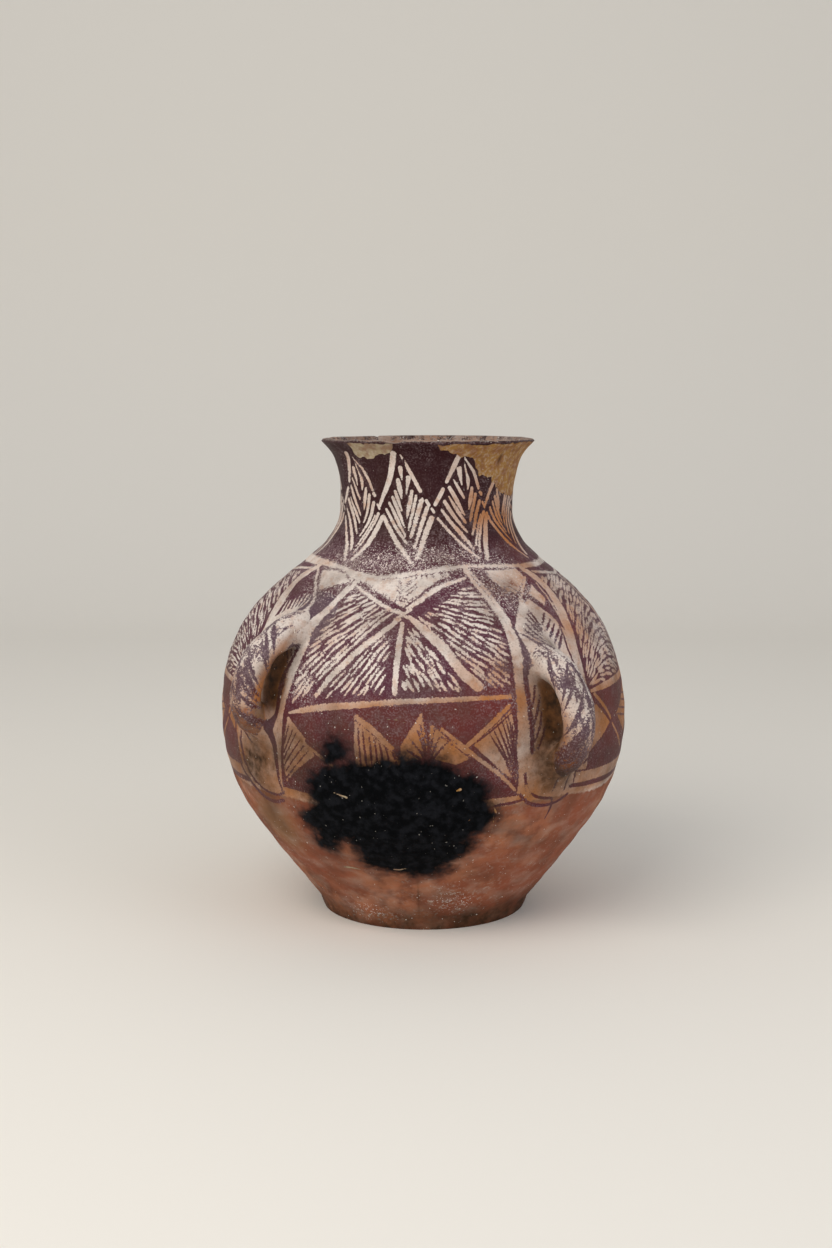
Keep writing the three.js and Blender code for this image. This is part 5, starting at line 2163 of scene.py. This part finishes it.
def paint_wall(wall: Wall) -> None:
    """Paints the whole wall, panel by panel round the jar, then lays fire, spalls and worn places on it, with
    painted shade behind the handles.

    Args:
        wall: to paint.
    """
    lay_colour_fields(wall)
    star, fan, left_ground, right_ground = StarPanel(), FanPanel(), HandleGround(), HandleGroundRight()
    sides = (
        Placement(home=fan.home, centre=fan.home, seed=3),
        Placement(home=fan.home, centre=-89.5, mirrored=True, stretch=0.98, lift=1.0, seed=4),
    )
    for side, width in zip(sides, (2.6, 1.7)):
        fan.draw(Brush(wall, side), width)
    for motif, centre, stretch, lift, seed in (
        (star, 175.5, 1.04, -1.5, 5), (left_ground, 130.0, 1.0, -6.0, 6),
        (right_ground, -139.5, 1.0, 2.0, 7),
    ):
        motif.draw(Brush(wall, Placement(motif.home, centre, True, stretch, lift, seed)))
    for motif, seed in ((star, 8), (left_ground, 9), (right_ground, 10)):
        motif.draw(Brush(wall, Placement(motif.home, motif.home, seed=seed)))
    for side in sides:
        fan.draw_edges(Brush(wall, side))
    again = Brush(wall, Placement(seed=12))
    again.pale(*star.left_edge)
    again.pale(*star.right_edge)
    for cover in (NeckLozenges(), FireCloud(), SpalledPatches()):
        cover.draw(wall)
    shade_handle_gaps(wall)


@dataclass(frozen=True)
class Studio:
    """The plain pale floor and backdrop, the soft lights and the camera."""

    lens: float = 50.0
    film_height: float = 36.0
    distance: float = 1.465
    camera_height: float = 0.444
    pitch: float = 7.85
    yaw: float = 0.29
    floor: str = "EEEAE2"
    key_power: float = 34.0
    fill_power: float = 9.0
    sky: float = 0.52
    sky_seen: float = 0.74

    def backdrop(self) -> None:
        """A floor that sweeps up into a wall: straight, then a quarter turn, then straight, all one strip."""
        bend = np.radians(np.linspace(0.0, 90.0, 24))
        y = np.concatenate([[-3.0, 0.0], 1.6 + 0.8 * np.sin(bend), [2.4]])
        z = np.concatenate([[0.0, 0.0], 0.8 - 0.8 * np.cos(bend), [4.0]])
        x = np.array([-4.0, 4.0])
        points = np.stack([np.repeat(x, len(y)), np.tile(y, 2), np.tile(z, 2)], axis=1)
        low = np.arange(len(y) - 1)
        faces = np.stack([low, low + len(y), low + len(y) + 1, low + 1], axis=1)
        mesh = bpy.data.meshes.new("studio_sweep")
        mesh.from_pydata(points.tolist(), [], faces.tolist())
        mesh.polygons.foreach_set("use_smooth", np.ones(len(faces), bool))
        paper = bpy.data.materials.new("studio_paper")
        paper.use_nodes = True
        shader = paper.node_tree.nodes["Principled BSDF"]
        shader.inputs["Base Color"].default_value = linear(self.floor)
        shader.inputs["Roughness"].default_value = 0.9
        mesh.materials.append(paper)
        sweep = bpy.data.objects.new("studio_sweep", mesh)
        bpy.context.scene.collection.objects.link(sweep)

    def lamp(self, name: str, place: tuple[float, float, float], size: float, power: float,
             colour: str) -> None:
        """Hangs a square soft lamp, aimed at the jar's middle.

        Args:
            name: of the lamp.
            place: where it hangs, in m.
            size: across its face, in m.
            power: in watts.
            colour: an sRGB hex value.
        """
        data = bpy.data.lights.new(name, "AREA")
        data.size, data.energy, data.color = size, power, linear(colour)[:3]
        lamp = bpy.data.objects.new(name, data)
        lamp.location = place
        aim = Vector((0.0, 0.0, 0.2)) - Vector(place)
        lamp.rotation_euler = aim.to_track_quat("-Z", "Y").to_euler()
        bpy.context.scene.collection.objects.link(lamp)

    def world(self) -> None:
        """An even pale sky round the set."""
        world = bpy.data.worlds.new("studio_air")
        world.use_nodes = True
        background = world.node_tree.nodes["Background"]
        background.inputs["Color"].default_value = linear("F4F5F8")
        tree = world.node_tree
        rays = [add(tree, "ShaderNodeLightPath", output=f"Is {kind} Ray") for kind in ("Camera", "Glossy")]
        seen = add(tree, "ShaderNodeMath", dict(enumerate(rays)), operation="MAXIMUM")
        strength = add(tree, "ShaderNodeMix", {0: seen, 2: self.sky, 3: self.sky_seen}, data_type="FLOAT")
        tree.links.new(strength, background.inputs["Strength"])
        bpy.context.scene.world = world

    def camera(self) -> None:
        """The camera at the photograph's angle: a little above the lip, looking slightly down."""
        data = bpy.data.cameras.new("camera")
        data.lens, data.sensor_fit, data.sensor_height = self.lens, "VERTICAL", self.film_height
        camera = bpy.data.objects.new("camera", data)
        camera.location = (0.0, -self.distance, self.camera_height)
        camera.rotation_euler = (math.radians(90.0 - self.pitch), 0.0, math.radians(self.yaw))
        bpy.context.scene.collection.objects.link(camera)
        bpy.context.scene.camera = camera

    def build(self) -> None:
        """Sets up everything round the jar."""
        self.camera()
        self.backdrop()
        self.world()
        self.lamp("key", (-1.1, -1.5, 1.7), 1.7, self.key_power, "FFFAF2")
        self.lamp("fill", (1.6, -1.2, 0.9), 1.4, self.fill_power, "F4F7FF")
        bpy.context.scene.view_settings.view_transform = "Standard"


def main() -> None:
    """Builds the studio, the wall and its paint, then every piece in order."""
    logging.basicConfig(level=logging.INFO, format="%(message)s")
    Studio().build()
    wall = Wall(WallOutline())
    paint_wall(wall)
    Body(wall).build()
    worn = WORN.material()
    for seat in SEATS:
        Handle(wall, seat).build(worn)


if __name__ == "__main__":
    main()
